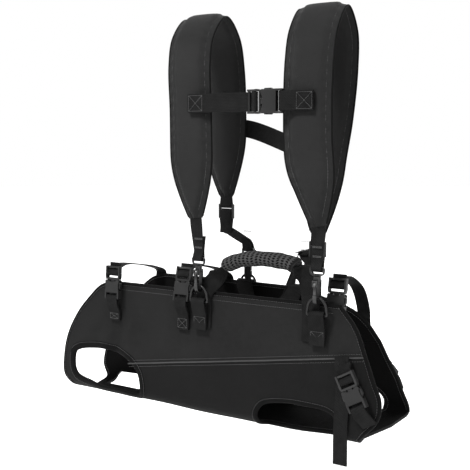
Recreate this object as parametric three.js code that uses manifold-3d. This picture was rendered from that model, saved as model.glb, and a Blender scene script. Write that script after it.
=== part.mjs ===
// A dog-lifting harness vest: a padded wrap with four leg openings, hung by four
// swivel snap hooks from a pair of padded shoulder straps.
// Millimetres, +Z up. +X points to the dog's head end, -Y to the wearer's chest side.
// The origin is the shoulder rest, midway between the inner crowns of the two pads.
import * as THREE from "three";
import { mergeVertices } from "three/addons/utils/BufferGeometryUtils.js";
import Module from "manifold-3d";

const wasm = await Module();
wasm.setup();

// ---- driving dimensions ----
const GAP = 0.4; // clearance between touching pieces
const WEB_T = 1.8; // webbing thickness
const WEB_WIDE = 25; // chest, back and handle webbing
const WEB_RING = 22; // ring tabs and neck straps
const WEB_NARROW = 19; // top straps and hook webs
const EYE_WEB = 15; // a hook web is folded to this width in the swivel eye

const PAD_SPACING = 184; // between the centres of the two shoulder pads
const PAD_WIDTH = 70;
const PAD_T = 13;
const PAD_FRONT_Y = -42; // middle of the pad on the chest side
const PAD_TIP_WIDTH = 24;

const VEST_TAIL = -325; // x of the tail end
const VEST_HEAD = 201; // x of the head end
const VEST_TOP = -369; // z of the side panels' top edge
const VEST_HEIGHT = 169;
const VEST_T = 4;
const FOLD_R = 20; // bend between a side panel and the belly
const SEAM_RISE = 57; // how much higher the side seam is at the head end
const SEAM_TAIL_X = -196;
const SEAM_TAIL_DROP = 118; // from the top edge down to the seam's tail end

const RING_WIRE_R = 1.7;
const RING_HEIGHT = 21; // bar centre to bow centre
const RING_DROP = 12; // bar centre below the vest's top edge
const RING_TAB_LENGTH = 40;
const HOOK_HANG = 3; // the bail's bend sits this far under the ring's bow
const HOOK_PLATE = 5; // thickness of the hook's bail
const BOSS_R = 4.8;
const BOSS_LENGTH = 7;
const POST_R = 1.7;
const POST_PLAY = 0.4;
const BAIL_LENGTH = 25.6; // underside of the boss to the inside of the bail's bend
const BAIL_INNER_R = 4.2;
const BAIL_BAR = 3.4;

const BAR_R = 1.8; // bars that webbing loops round
const SLOT = 5; // slot beside such a bar
const RAIL = 3; // side rail of a buckle, each side of the webbing
const BUCKLE_T = 8;
const BUCKLE_PLAY = 0.4;
const BLADE_T = 4.2; // arms and tongue of a plug

const CHEST_STRAP_DROP = 113; // below the shoulder rest
const BACK_STRAP_DROP = 142;
const BACK_STRAP_FALL = 42; // how much lower it is sewn at the head-end pad
const CHEST_BUCKLE_X = 31; // where the chest buckle's halves meet
const TOP_STRAPS = { tail: -220, middle: -97, head: 128 }; // x of each strap over the gap
const TOP_BUCKLE_DROP = 13; // its socket's bar below the top edge
const TOP_TAIL_DROP = 21; // the same for the buckle at the tail end
const TOP_TAB_DROP = 56; // the buckles' tabs end this far below the top edge
const LOWER_BUCKLE_TURN = 29; // degrees from upright
const LOWER_BUCKLE_X = 178;
const LOWER_BUCKLE_RISE = 50; // its socket's bar above the belly
const LOWER_BUCKLE_STAND = 7.05; // its middle stands this and a quarter of the web's width off the wall
const LOWER_TAIL_DROP = 29; // the free ends hang this far below the belly
const HANDLE_RISE = 52; // chest handle's arch above the top edge
const HANDLE_HANG = 38; // the back handle hangs this far down inside
const GRIP_WIDTH = 30;
const GRIP_T = 20;

const VEST_BOTTOM = VEST_TOP - VEST_HEIGHT;
const V = (x, y, z) => new THREE.Vector3(x, y, z);
const X = V(1, 0, 0);
const Y = V(0, 1, 0);
const Z = V(0, 0, 1);
const mix = THREE.MathUtils.lerp;
const ramp = THREE.MathUtils.smoothstep;

// ---- materials ----
const finish = (color, roughness, metalness = 0) =>
  new THREE.MeshStandardMaterial({ color, roughness, metalness });
const SHELL = finish(0x2b2b2c, 0.85);
const LOWER = finish(0x232324, 0.88);
const PAD = finish(0x2f2f30, 0.8);
const WEBBING = finish(0x1c1c1d, 0.75);
const MESH = finish(0x222223, 0.9);
const PLASTIC = finish(0x1a1a1b, 0.45);
const METAL = finish(0x3a3a3c, 0.35, 0.9);

const object = new THREE.Group();
function add(name, geometry, material) {
  const mesh = new THREE.Mesh(geometry, material);
  mesh.name = name;
  object.add(mesh);
}

// ---- solids ----
function solid(geometry) {
  const bare = (geometry.index ? geometry.toNonIndexed() : geometry).clone();
  bare.deleteAttribute("normal");
  bare.deleteAttribute("uv");
  const merged = mergeVertices(bare, 1e-4);
  return new wasm.Manifold(
    new wasm.Mesh({
      numProp: 3,
      vertProperties: merged.attributes.position.array,
      triVerts: new Uint32Array(merged.index.array),
    }),
  );
}
function geometryOf(body) {
  const mesh = body.getMesh();
  const points = new Float32Array(mesh.vertProperties.length);
  points.set(mesh.vertProperties);
  return new THREE.BufferGeometry()
    .setAttribute("position", new THREE.BufferAttribute(points, 3))
    .setIndex(new THREE.BufferAttribute(new Uint32Array(mesh.triVerts), 1));
}
const join = (...bodies) => bodies.reduce((all, next) => all.add(next));
const cut = (body, ...tools) => tools.reduce((left, next) => left.subtract(next), body);

// A box of n = [across, along, thick] cells whose points are placed by a function of
// u and v from 0 to 1 and w from -0.5 to 0.5.
function bentBox(n, place) {
  const geometry = new THREE.BoxGeometry(1, 1, 1, ...n);
  const points = geometry.attributes.position;
  for (let i = 0; i < points.count; i++) {
    const to = place(points.getX(i) + 0.5, points.getY(i) + 0.5, points.getZ(i));
    points.setXYZ(i, to.x, to.y, to.z);
  }
  return geometry;
}

// Flat webbing along a path. across and width may be functions of the way along.
function ribbon(path, across, width, thick = WEB_T, cells = 1) {
  const last = path.length - 1;
  const value = (v, t) => (typeof v === "function" ? v(t) : v);
  return bentBox([cells, last, 1], (u, v, w) => {
    const i = Math.round(v * last);
    const tangent = path[Math.min(i + 1, last)].clone().sub(path[Math.max(i - 1, 0)]).normalize();
    const side = value(across, v).clone();
    side.addScaledVector(tangent, -side.dot(tangent)).normalize();
    return path[i]
      .clone()
      .addScaledVector(side, (u - 0.5) * value(width, v))
      .addScaledVector(side.clone().cross(tangent), w * value(thick, v));
  });
}
const curveOf = (points) => new THREE.CatmullRomCurve3(points, false, "centripetal");
function strap(points, across, width, thick, steps, cells = 1) {
  return ribbon(curveOf(points).getSpacedPoints(steps), across, width, thick, cells);
}
// The middle of webbing folded round a bar, from its face side round to its back.
// Both layers stay spread apart for the given length before they close up.
const LAYER = WEB_T + 0.6; // between the middles of two layers sewn together
const SEWN = LAYER / 2;
const FOLD = BAR_R + GAP + WEB_T / 2;
function fold(bar, away, face, radius = FOLD, spread = 0) {
  const at = (s, n) => bar.clone().addScaledVector(away, s).addScaledVector(face, n);
  const turn = [];
  for (let i = 0; i <= 8; i++) {
    const angle = THREE.MathUtils.degToRad(75 + (210 * i) / 8);
    turn.push(at(radius * Math.cos(angle), radius * Math.sin(angle)));
  }
  const wide = spread ? [spread] : [];
  const closed = spread + radius + 7;
  return [
    at(closed, SEWN),
    ...wide.map((s) => at(s, radius)),
    ...turn,
    ...wide.map((s) => at(s, -radius)),
    at(closed, -SEWN),
  ];
}

// The middle of webbing threaded on a plug's ladder: over its inner bar and down through
// the slot, with both layers behind its end bar.
function threaded(bar, away, face) {
  const at = (s, n) => bar.clone().addScaledVector(away, s).addScaledVector(face, n);
  const behind = -FOLD - LAYER;
  const turn = [];
  for (let i = 0; i <= 7; i++) {
    const angle = THREE.MathUtils.degToRad(60 + (210 * i) / 7);
    turn.push(at(FOLD * Math.cos(angle), FOLD * Math.sin(angle)));
  }
  const ends = [at(PITCH, behind), at(PITCH + 7, behind)];
  return [at(PITCH + 7, -FOLD - 0.3), at(PITCH - 1.5, -FOLD - 0.1), at(PITCH / 2, 0.4), ...turn, ...ends];
}

function rod(centre, direction, radius, length, sides = 12) {
  const geometry = new THREE.CylinderGeometry(radius, radius, length, sides);
  geometry.applyQuaternion(new THREE.Quaternion().setFromUnitVectors(Y, direction));
  return solid(geometry.translate(centre.x, centre.y, centre.z));
}
function block(centre, size) {
  return solid(new THREE.BoxGeometry(...size).translate(centre.x, centre.y, centre.z));
}
// An outline drawn in two axes, given a thickness across the third.
function plate(outline, thickness, frame) {
  const geometry = new THREE.ExtrudeGeometry(outline, {
    depth: thickness,
    bevelEnabled: false,
    curveSegments: 4,
  });
  geometry.translate(0, 0, -thickness / 2);
  return solid(frame ? geometry.applyMatrix4(frame) : geometry);
}
const outlineOf = (points) => new THREE.Shape(points.map((p) => new THREE.Vector2(...p)));
const smoothOutline = (points) => {
  const shape = new THREE.Shape();
  shape.moveTo(...points[0]);
  shape.splineThru([...points.slice(1), points[0]].map((p) => new THREE.Vector2(...p)));
  return shape;
};

// ---- the wrap ----
// The cross-section at x, as the four corners of its side panels and belly.
function section(x) {
  const along = THREE.MathUtils.clamp((x - VEST_TAIL) / (VEST_HEAD - VEST_TAIL), 0, 1);
  const far = [
    [0, 0.45, 0.72, 1], // stations from tail to head
    [54, 58, 52, 26], // y of the back side's top edge
    [14, 42, 72, 104], // y of its foot
  ];
  const i = along < far[0][1] ? 0 : along < far[0][2] ? 1 : 2;
  const part = (along - far[0][i]) / (far[0][i + 1] - far[0][i]);
  const easy = ramp(part, 0, 1) * 0.5 + part * 0.5;
  return {
    chestTop: V(x, -45, VEST_TOP),
    chestFoot: V(x, mix(-50, -63, along), VEST_BOTTOM),
    backTop: V(x, mix(far[1][i], far[1][i + 1], easy), VEST_TOP),
    backFoot: V(x, mix(far[2][i], far[2][i + 1], easy), VEST_BOTTOM),
  };
}
const chestY = (x, z) => {
  const s = section(x);
  return mix(s.chestTop.y, s.chestFoot.y, (VEST_TOP - z) / VEST_HEIGHT);
};
const backY = (x, z) => {
  const s = section(x);
  return mix(s.backTop.y, s.backFoot.y, (VEST_TOP - z) / VEST_HEIGHT);
};
// q runs round the section: 0 to 1 down the chest side, to 2 round the fold,
// to 3 across the belly, to 4 round the other fold, to 5 up the back side.
function wrapPoint(x, q) {
  const s = section(x);
  const bend = (a, corner, b, t) => {
    const from = corner.clone().add(a.clone().sub(corner).setLength(FOLD_R));
    const to = corner.clone().add(b.clone().sub(corner).setLength(FOLD_R));
    return new THREE.QuadraticBezierCurve3(from, corner, to).getPoint(t);
  };
  const chest = (t) => bend(s.chestTop, s.chestFoot, s.backFoot, t);
  const back = (t) => bend(s.chestFoot, s.backFoot, s.backTop, t);
  if (q <= 1) return s.chestTop.clone().lerp(chest(0), q);
  if (q <= 2) return chest(q - 1);
  if (q <= 3) return chest(1).lerp(back(0), q - 2);
  if (q <= 4) return back(q - 3);
  return back(1).lerp(s.backTop, q - 4);
}
const THIRDS = [1, 1.33, 1.67, 2, 2.33, 2.67, 3, 3.33, 3.67, 4];
const STOPS = [0, 0.12, 0.35, 0.6, 0.8, ...THIRDS, 4.2, 4.4, 4.65, 4.88, 5];
function wrapSlab() {
  const cells = 18;
  return solid(
    bentBox([STOPS.length - 1, cells, 1], (u, v, w) => {
      const q = STOPS[Math.round(u * (STOPS.length - 1))];
      const x = mix(VEST_TAIL - 6, VEST_HEAD + 12, v);
      const at = wrapPoint(x, q);
      const round = wrapPoint(x, Math.min(q + 0.02, 5)).sub(wrapPoint(x, Math.max(q - 0.02, 0)));
      const normal = round.cross(X).normalize();
      return at.addScaledVector(normal, w * VEST_T);
    }),
  );
}
// A prism along Y from an outline in x and z, between two values of y.
function prismY(shape, low, high) {
  const frame = new THREE.Matrix4().makeBasis(X, Z, Y.clone().negate());
  frame.setPosition(0, (low + high) / 2, 0);
  return plate(shape, high - low, frame);
}
const seamZ = (x) =>
  VEST_TOP - SEAM_TAIL_DROP + (SEAM_RISE * (x - SEAM_TAIL_X)) / (VEST_HEAD - 28 - SEAM_TAIL_X);

const T = VEST_TOP;
const B = VEST_BOTTOM;
const CHEST_TAIL_EDGE = [
  [VEST_TAIL + 98, T], [VEST_TAIL + 74, T - 7], [VEST_TAIL + 50, T - 28], [VEST_TAIL + 28, T - 53],
  [VEST_TAIL + 8, T - 88], [VEST_TAIL, T - 127], [VEST_TAIL + 1, B + 19], [VEST_TAIL + 29, B - 1],
];
const CHEST_HEAD_EDGE = [
  [VEST_HEAD - 61, T], [VEST_HEAD - 42, T - 21], [VEST_HEAD - 34, T - 34], [VEST_HEAD - 25, T - 55],
  [VEST_HEAD - 10, T - 91], [VEST_HEAD, T - 110],
];
const BACK_HEAD_EDGE = [
  [VEST_HEAD - 176, T], [VEST_HEAD - 140, T - 9], [VEST_HEAD - 86, T - 23], [VEST_HEAD - 65, T - 39],
  [VEST_HEAD - 50, T - 61], [VEST_HEAD - 40, T - 92], [VEST_HEAD - 31, T - 118], [VEST_HEAD - 30, T - 145],
];
const BACK_SHIFT = 20; // the back side's tail edge sits this much nearer the head
const TAIL_HOLE = [
  [-301, T - 113], [-291, T - 107], [-270, T - 103], [-237, T - 101], [-201, T - 110], [-179, T - 130],
  [-174, B + 12], [-179, B + 6], [-215, B + 8], [-252, B + 9], [-268, B + 14], [-300, B + 25],
];
const HEAD_HOLE = [
  [24, B - 9], [24, B + 14], [33, B + 28], [65, B + 36], [98, B + 37], [134, B + 33],
  [146, B + 20], [146, B - 9],
];
const HEAD_HOLE_REACH = 24; // how far the head-end leg openings reach in under the belly
const SPLIT_Y = -22; // the crotch strip's edge, where the two sides meet at the tail

// Where a side panel's head-end edge meets the seam.
function seamEnd(edge) {
  const i = edge.findIndex(([x, z]) => z <= seamZ(x) + 1);
  const over = ([x, z]) => z - seamZ(x);
  const t = over(edge[i - 1]) / (over(edge[i - 1]) - over(edge[i]));
  const x = mix(edge[i - 1][0], edge[i][0], t);
  return [x, seamZ(x)];
}

function vestPanels() {
  const slab = wrapSlab();
  const sideOutline = (head, shift) =>
    outlineOf([
      ...CHEST_TAIL_EDGE.map(([x, z]) => [x + shift, z]),
      [SEAM_TAIL_X, B - 12],
      [SEAM_TAIL_X, seamZ(SEAM_TAIL_X)],
      seamEnd(head),
      ...[...head].reverse().filter(([x, z]) => z > seamZ(x) + 1),
      [head[0][0], T + 5],
      [CHEST_TAIL_EDGE[0][0] + shift, T + 5],
    ]);
  const bellyOutline = (edge, footX) =>
    outlineOf([
      [SEAM_TAIL_X + GAP, B - 12],
      [footX, B - 12],
      ...edge,
      [SEAM_TAIL_X + GAP, seamZ(SEAM_TAIL_X) - GAP],
    ]);
  const belowSeam = (edge) => [seamEnd(edge)[0], seamEnd(edge)[1] - GAP];
  const chestPart = prismY(sideOutline(CHEST_HEAD_EDGE, 0), -200, SPLIT_Y - GAP);
  const backPart = prismY(sideOutline(BACK_HEAD_EDGE, BACK_SHIFT), SPLIT_Y, 200);
  const hole = prismY(smoothOutline(TAIL_HOLE), -200, SPLIT_Y - 8);
  const backHole = block(V(-240, 2, B), [70, 46, 24]);
  add("side_panel_chest", geometryOf(cut(slab.intersect(chestPart), hole)), SHELL);
  add("side_panel_back", geometryOf(cut(slab.intersect(backPart), backHole)), SHELL);

  const chestBelly = prismY(
    bellyOutline(
      [[VEST_HEAD - 50, B - 8], [VEST_HEAD, B + 56], [VEST_HEAD - 10, B + 78], belowSeam(CHEST_HEAD_EDGE)],
      VEST_HEAD - 52,
    ),
    -200,
    0,
  );
  const backBelly = prismY(
    bellyOutline(
      [
        [VEST_HEAD - 20, B - 8], [VEST_HEAD - 27, B + 30], [VEST_HEAD - 31, B + 51],
        belowSeam(BACK_HEAD_EDGE),
      ],
      VEST_HEAD - 20,
    ),
    0,
    200,
  );
  const chestHole = prismY(smoothOutline(HEAD_HOLE), -200, section(90).chestFoot.y + HEAD_HOLE_REACH);
  const backLegHole = prismY(smoothOutline(HEAD_HOLE), section(90).backFoot.y - HEAD_HOLE_REACH, 200);
  add(
    "belly_panel",
    geometryOf(cut(slab.intersect(join(chestBelly, backBelly)), hole, chestHole, backLegHole)),
    LOWER,
  );
}

// ---- shoulder pads ----
// Each entry is x offset, y, z of the pad's middle from the chest-side tip over to the back-side tip.
const PAD_PATHS = {
  tail: [
    [15, -50, -268], [7, -48, -190], [3, -44, -120], [0, PAD_FRONT_Y, -60], [0, -33, -22], [0, 0, PAD_T / 2],
    [0, 33, -20], [0, 46, -66], [0, 50, -130], [-1, 50, -195], [1, 50, -244],
  ],
  head: [
    [20, -54, -270], [12, -52, -220], [2, -48, -180], [-1, -46, -130], [0, PAD_FRONT_Y - 2, -60],
    [0, -33, -22], [0, -4, PAD_T / 2], [0, 24, -22], [-4, 35, -68], [-12, 40, -130],
    [-24, 42, -200], [-30, 44, -290],
  ],
};
const padPoints = (key) =>
  PAD_PATHS[key].map(([x, y, z]) => V((key === "tail" ? -0.5 : 0.5) * PAD_SPACING + x, y, z));
const TIP_TURN = 0.16; // share of the length over which a pad narrows to its tip
function padWidth(t) {
  const fromTip = Math.min(t, 1 - t) / TIP_TURN;
  return fromTip >= 1 ? PAD_WIDTH : mix(PAD_TIP_WIDTH, PAD_WIDTH, Math.sin((fromTip * Math.PI) / 2));
}

// ---- buckles ----
// Local frame: x across, y from the socket towards the plug's webbing, z out of the face.
const PITCH = 2 * BAR_R + SLOT;
const throatOf = (web) => 4 + 0.62 * web;
const socketBarOf = (web) => -(throatOf(web) + 3 + SLOT + BAR_R);
const PLUG_BAR = 3 + SLOT + BAR_R;
function buckle(name, web, origin, along, face) {
  const half = web / 2 + RAIL;
  const throat = throatOf(web);
  const socketBar = socketBarOf(web);
  const endBar = PLUG_BAR + PITCH;
  const across = along.clone().cross(face).normalize();
  const frame = new THREE.Matrix4().makeBasis(across, along, face).setPosition(origin);
  const window = (low, high) => block(V(0, (low + high) / 2, 0), [web + 2 * GAP, high - low, 2 * BUCKLE_T]);
  const bar = (y) => rod(V(0, y, 0), X, BAR_R, 2 * half - 1, 10);
  const shell = new THREE.Shape();
  shell.moveTo(-half, socketBar - BAR_R);
  shell.lineTo(half, socketBar - BAR_R);
  shell.lineTo(half, -throat);
  shell.quadraticCurveTo(half - 2, -throat / 2, half, -3);
  shell.quadraticCurveTo(half, 0, half - 3, 0);
  shell.quadraticCurveTo(0, -6, -half + 3, 0);
  shell.quadraticCurveTo(-half, 0, -half, -3);
  shell.quadraticCurveTo(-half + 2, -throat / 2, -half, -throat);
  const socket = cut(
    plate(shell, BUCKLE_T),
    block(V(0, 1 - throat / 2, 0), [3 * half, throat + 2, BLADE_T + 2 * BUCKLE_PLAY]),
    window(socketBar - 2 * BAR_R, socketBar + BAR_R + SLOT),
  );
  const armOutline = [
    [half - 7.5, 1.5], [half - 3.2, 1.5], [half - 2.6, -2.5], [half + 1.2, -5], [half + 1.4, 5 - throat],
    [half - 1.2, 1.6 - throat], [half - 5, 1.6 - throat], [half - 6.5, 5 - throat],
  ];
  const arm = (side) => plate(outlineOf(armOutline.map(([x, y]) => [side * x, y])), BLADE_T);
  const base = new THREE.Shape();
  base.moveTo(-half + 1, BUCKLE_PLAY);
  base.lineTo(half - 1, BUCKLE_PLAY);
  base.quadraticCurveTo(half + 1, PLUG_BAR / 2, half, PLUG_BAR);
  base.lineTo(half, endBar + BAR_R);
  base.lineTo(-half, endBar + BAR_R);
  base.lineTo(-half, PLUG_BAR);
  base.quadraticCurveTo(-half - 1, PLUG_BAR / 2, -half + 1, BUCKLE_PLAY);
  const plug = join(
    cut(plate(base, BUCKLE_T - 1.5), window(PLUG_BAR - BAR_R - SLOT, endBar + 2 * BAR_R)),
    block(V(0, 2 - throat / 2, 0), [7, throat, BLADE_T]),
    arm(1),
    arm(-1),
    bar(PLUG_BAR),
    bar(endBar),
  );
  add(name + "_socket", geometryOf(join(socket, bar(socketBar))).applyMatrix4(frame), PLASTIC);
  add(name + "_plug", geometryOf(plug).applyMatrix4(frame), PLASTIC);
  const at = (y) => V(0, y, 0).applyMatrix4(frame);
  const back = along.clone().negate();
  return {
    across,
    socketFold: fold(at(socketBar), back, face),
    plugFold: threaded(at(PLUG_BAR), along, face),
  };
}

// ---- D-rings and their tabs ----
const RING_OUTER = WEB_RING / 2 + GAP + 2 * RING_WIRE_R;
const RING_FOLD = 1.42 * RING_WIRE_R + GAP + WEB_T / 2;
function dRing(name, x, y, barZ) {
  const inner = RING_OUTER - 2 * RING_WIRE_R;
  const ring = (half, foot, top) => {
    const shape = new THREE.Shape();
    shape.moveTo(-half, foot);
    shape.lineTo(half, foot);
    shape.lineTo(half, foot + 7);
    shape.quadraticCurveTo(half, top, 3, top);
    shape.lineTo(-3, top);
    shape.quadraticCurveTo(-half, top, -half, foot + 7);
    return shape;
  };
  const frame = new THREE.Matrix4().makeBasis(X, Z, Y.clone().negate()).setPosition(x, y, barZ);
  const body = cut(
    plate(ring(RING_OUTER, -RING_WIRE_R, RING_HEIGHT + RING_WIRE_R), 2 * RING_WIRE_R, frame),
    plate(ring(inner, RING_WIRE_R, RING_HEIGHT - RING_WIRE_R), 4 * RING_WIRE_R, frame),
  );
  add("d_ring_" + name, geometryOf(body), METAL);
}
// A doubled tab sewn flat on a side panel, with the ring's bar in its fold.
function ringTab(name, ring) {
  const face = V(0, ring.outward, 0);
  const core = fold(V(ring.x, ring.barY, ring.barZ), Z.clone().negate(), face, RING_FOLD);
  const foot = (layer, z) =>
    V(ring.x, offWall(ring, z, WEB_RING / 2, HANDLE_LAYER + layer * LAYER), z);
  const low = ring.barZ - RING_TAB_LENGTH;
  const path = [foot(1, low), foot(1, ring.barZ - 21), ...core, foot(0, ring.barZ - 21), foot(0, low)];
  add("ring_tab_" + name, ribbon(path, X, WEB_RING), WEBBING);
}

// ---- swivel snap hooks ----
// The bail lies in the plane of Y and Z, its gate on the side that faces outward.
const EYE_TOP = 12; // top of the swivel eye above the hook's origin
const EYE_BAR = 3;
const GATE_PIN_DROP = 3.2; // gate pin centre below the boss
function snapHook(name, at, outward) {
  const frame = new THREE.Matrix4()
    .makeBasis(Y.clone().multiplyScalar(outward), Z, X.clone().multiplyScalar(outward))
    .setPosition(at);
  const outer = BAIL_INNER_R + BAIL_BAR;
  const bend = BAIL_INNER_R - BOSS_LENGTH - BAIL_LENGTH; // height of the bail's centre
  const nose = bend + 5;
  const bail = new THREE.Shape();
  bail.moveTo(-outer, 2 - BOSS_LENGTH);
  bail.lineTo(-outer, bend);
  bail.absarc(0, bend, outer, Math.PI, 2 * Math.PI, false);
  bail.lineTo(outer, nose);
  bail.lineTo(BAIL_INNER_R, nose);
  bail.lineTo(BAIL_INNER_R, bend);
  bail.absarc(0, bend, BAIL_INNER_R, 2 * Math.PI, Math.PI, true);
  bail.lineTo(-BAIL_INNER_R, -BOSS_LENGTH);
  bail.lineTo(outer, -BOSS_LENGTH);
  bail.lineTo(outer, 2 - BOSS_LENGTH);
  const pinAt = V(at.x, at.y + outward * (BAIL_INNER_R + BAIL_BAR / 2), at.z - BOSS_LENGTH - GATE_PIN_DROP);
  const cheekX = HOOK_PLATE / 2 + 0.4;
  const cheek = (side) =>
    block(V(at.x + side * cheekX, pinAt.y, pinAt.z + 1.6), [0.9, BAIL_BAR, 2 * GATE_PIN_DROP + 1.6]);
  const solidBody = join(
    plate(bail, HOOK_PLATE, frame),
    rod(V(at.x, at.y, at.z - BOSS_LENGTH / 2), Z, BOSS_R, BOSS_LENGTH, 16),
    cheek(1),
    cheek(-1),
    rod(pinAt, X, 0.8, 2 * cheekX, 8),
  );
  const bore = rod(V(at.x, at.y, at.z - BOSS_LENGTH / 2 + 1), Z, POST_R + POST_PLAY, BOSS_LENGTH + 6, 16);
  add("hook_body_" + name, geometryOf(cut(solidBody, bore)), METAL);

  const gateTop = -BOSS_LENGTH - 0.9;
  const near = BAIL_INNER_R + 0.2;
  const gate = outlineOf([
    [near + 0.8, gateTop], [outer - 0.8, gateTop], [outer, gateTop - 1.2], [outer + 1.4, gateTop - 4.5],
    [outer, gateTop - 7], [outer, nose + GAP], [near + 0.4, nose + GAP], [near, gateTop - 1.2],
  ]);
  const pinHole = rod(pinAt, X, 1.15, 4 * HOOK_PLATE, 8);
  add("hook_gate_" + name, geometryOf(cut(plate(gate, HOOK_PLATE - 1.2, frame), pinHole)), METAL);

  const headZ = at.z - BOSS_LENGTH - GAP - 0.9;
  const head = rod(V(at.x, at.y, headZ), Z, POST_R + 1.3, 1.8, 16);
  const post = rod(V(at.x, at.y, (headZ + at.z + 2.4) / 2), Z, POST_R, at.z + 2.4 - headZ, 16);
  const eyeHalf = EYE_WEB / 2 + GAP + 2.4;
  const eyeOutline = (half, low, high, corner) => {
    const shape = new THREE.Shape();
    shape.moveTo(-3, low);
    shape.lineTo(3, low);
    shape.quadraticCurveTo(half, low, half, high - 5);
    shape.lineTo(half, high - corner);
    shape.lineTo(half - corner, high);
    shape.lineTo(-half + corner, high);
    shape.lineTo(-half, high - corner);
    shape.lineTo(-half, high - 5);
    shape.quadraticCurveTo(-half, low, -3, low);
    return shape;
  };
  const eyeFrame = new THREE.Matrix4().makeBasis(X, Z, Y.clone().negate()).setPosition(at);
  const eye = cut(
    plate(eyeOutline(eyeHalf, GAP, EYE_TOP, 2), EYE_BAR, eyeFrame),
    plate(eyeOutline(eyeHalf - 2, 3.2, EYE_TOP - EYE_BAR, 0.3), 2 * EYE_BAR, eyeFrame),
  );
  add("hook_eye_" + name, geometryOf(join(eye, post, head)), METAL);
}
const EYE_FOLD = 0.71 * EYE_BAR + GAP + WEB_T / 2;
const eyeBar = (at) => V(at.x, at.y, at.z + EYE_TOP - EYE_BAR / 2);

// ---- stations on the vest ----
const HANDLE_LAYER = GAP + WEB_T + 0.7; // a handle's sewn foot lies under the ring tabs
const RINGS = {
  chest_tail: { x: -67, outward: -1 },
  chest_head: { x: 113, outward: -1 },
  back_tail: { x: -65, outward: 1 },
  back_head: { x: 35, outward: 1 },
};
// y of the middle of webbing lying on the outside of a side panel, under so much else.
function offWall({ x, outward }, z, half, under = 0) {
  const wall = (at) => (outward < 0 ? chestY(at, z) : backY(at, z));
  const furthest = Math.max(outward * wall(x - half), outward * wall(x + half));
  return outward * (furthest + VEST_T / 2 + GAP + WEB_T / 2 + under + 0.4);
}
function ringStations() {
  for (const [name, ring] of Object.entries(RINGS)) {
    ring.barZ = VEST_TOP - RING_DROP;
    const inner = offWall(ring, ring.barZ, WEB_RING / 2, HANDLE_LAYER);
    ring.barY = inner + ring.outward * (RING_FOLD + 2.1);
    const bow = ring.barZ + RING_HEIGHT - RING_WIRE_R;
    ring.hook = V(ring.x, ring.barY, bow - HOOK_HANG + BAIL_LENGTH + BOSS_LENGTH);
    dRing(name, ring.x, ring.barY, ring.barZ);
    ringTab(name, ring);
    snapHook(name, ring.hook, ring.outward);
  }
}

// ---- straps over the gap between the side panels ----
// Height of the back side's top edge, which falls away towards the head end.
function backEdgeZ(x) {
  for (let i = 1; i < BACK_HEAD_EDGE.length; i++) {
    const [x0, z0] = BACK_HEAD_EDGE[i - 1];
    const [x1, z1] = BACK_HEAD_EDGE[i];
    if (x < x1) return x < x0 ? z0 : mix(z0, z1, (x - x0) / (x1 - x0));
  }
  return VEST_BOTTOM;
}
function topStrap(key, x, side, lean, drop = TOP_BUCKLE_DROP) {
  const half = WEB_NARROW / 2;
  const barZ = VEST_TOP - drop;
  const turn = THREE.MathUtils.degToRad(lean);
  const along = V(0, Math.sin(turn), Math.cos(turn));
  const face = V(0, -Math.cos(turn), Math.sin(turn));
  const wall = (z, off) => chestY(x, z) + side * (VEST_T / 2 + GAP + off);
  const bar = V(x, wall(barZ, BUCKLE_T / 2 + 4.4), barZ);
  const origin = bar.clone().addScaledVector(along, -socketBarOf(WEB_NARROW));
  const ends = buckle("top_" + key, WEB_NARROW, origin, along, face);
  const layer = (n) => WEB_T / 2 + 0.3 + n * LAYER;
  const outside = side < 0 ? [1, 0] : [0, 1]; // layer of the fold's face side, then of its back
  const tabEnd = VEST_TOP - TOP_TAB_DROP;
  const tab = [
    V(x, wall(tabEnd, layer(outside[0])), tabEnd),
    V(x, wall(barZ - 22, layer(outside[0])), barZ - 22),
    ...ends.socketFold,
    V(x, wall(barZ - 22, layer(outside[1])), barZ - 22),
    V(x, wall(tabEnd, layer(outside[1])), tabEnd),
  ];
  add("top_tab_" + key, ribbon(tab, X, WEB_NARROW), WEBBING);
  const threadedPart = ends.plugFold.slice(0, -1);
  const last = threadedPart[threadedPart.length - 1];
  const edge = backEdgeZ(x - half);
  const foot = (z) => V(x, offWall({ x, outward: 1 }, z, half), z);
  const over = curveOf([
    last,
    V(x, mix(last.y, foot(edge).y, 0.13), last.z + 3),
    V(x, mix(last.y, foot(edge).y, 0.5), mix(last.z, edge, 0.15) + 1),
    V(x, mix(last.y, foot(edge).y, 0.8), mix(last.z, edge, 0.42)),
    foot(edge).add(V(0, 1.5, 3)),
    foot(edge - 12),
    foot(edge - 28),
  ]).getPoints(18);
  const path = [...threadedPart, ...over.slice(1)];
  add("top_strap_" + key, ribbon(path, X, WEB_NARROW), WEBBING);
}

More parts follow.
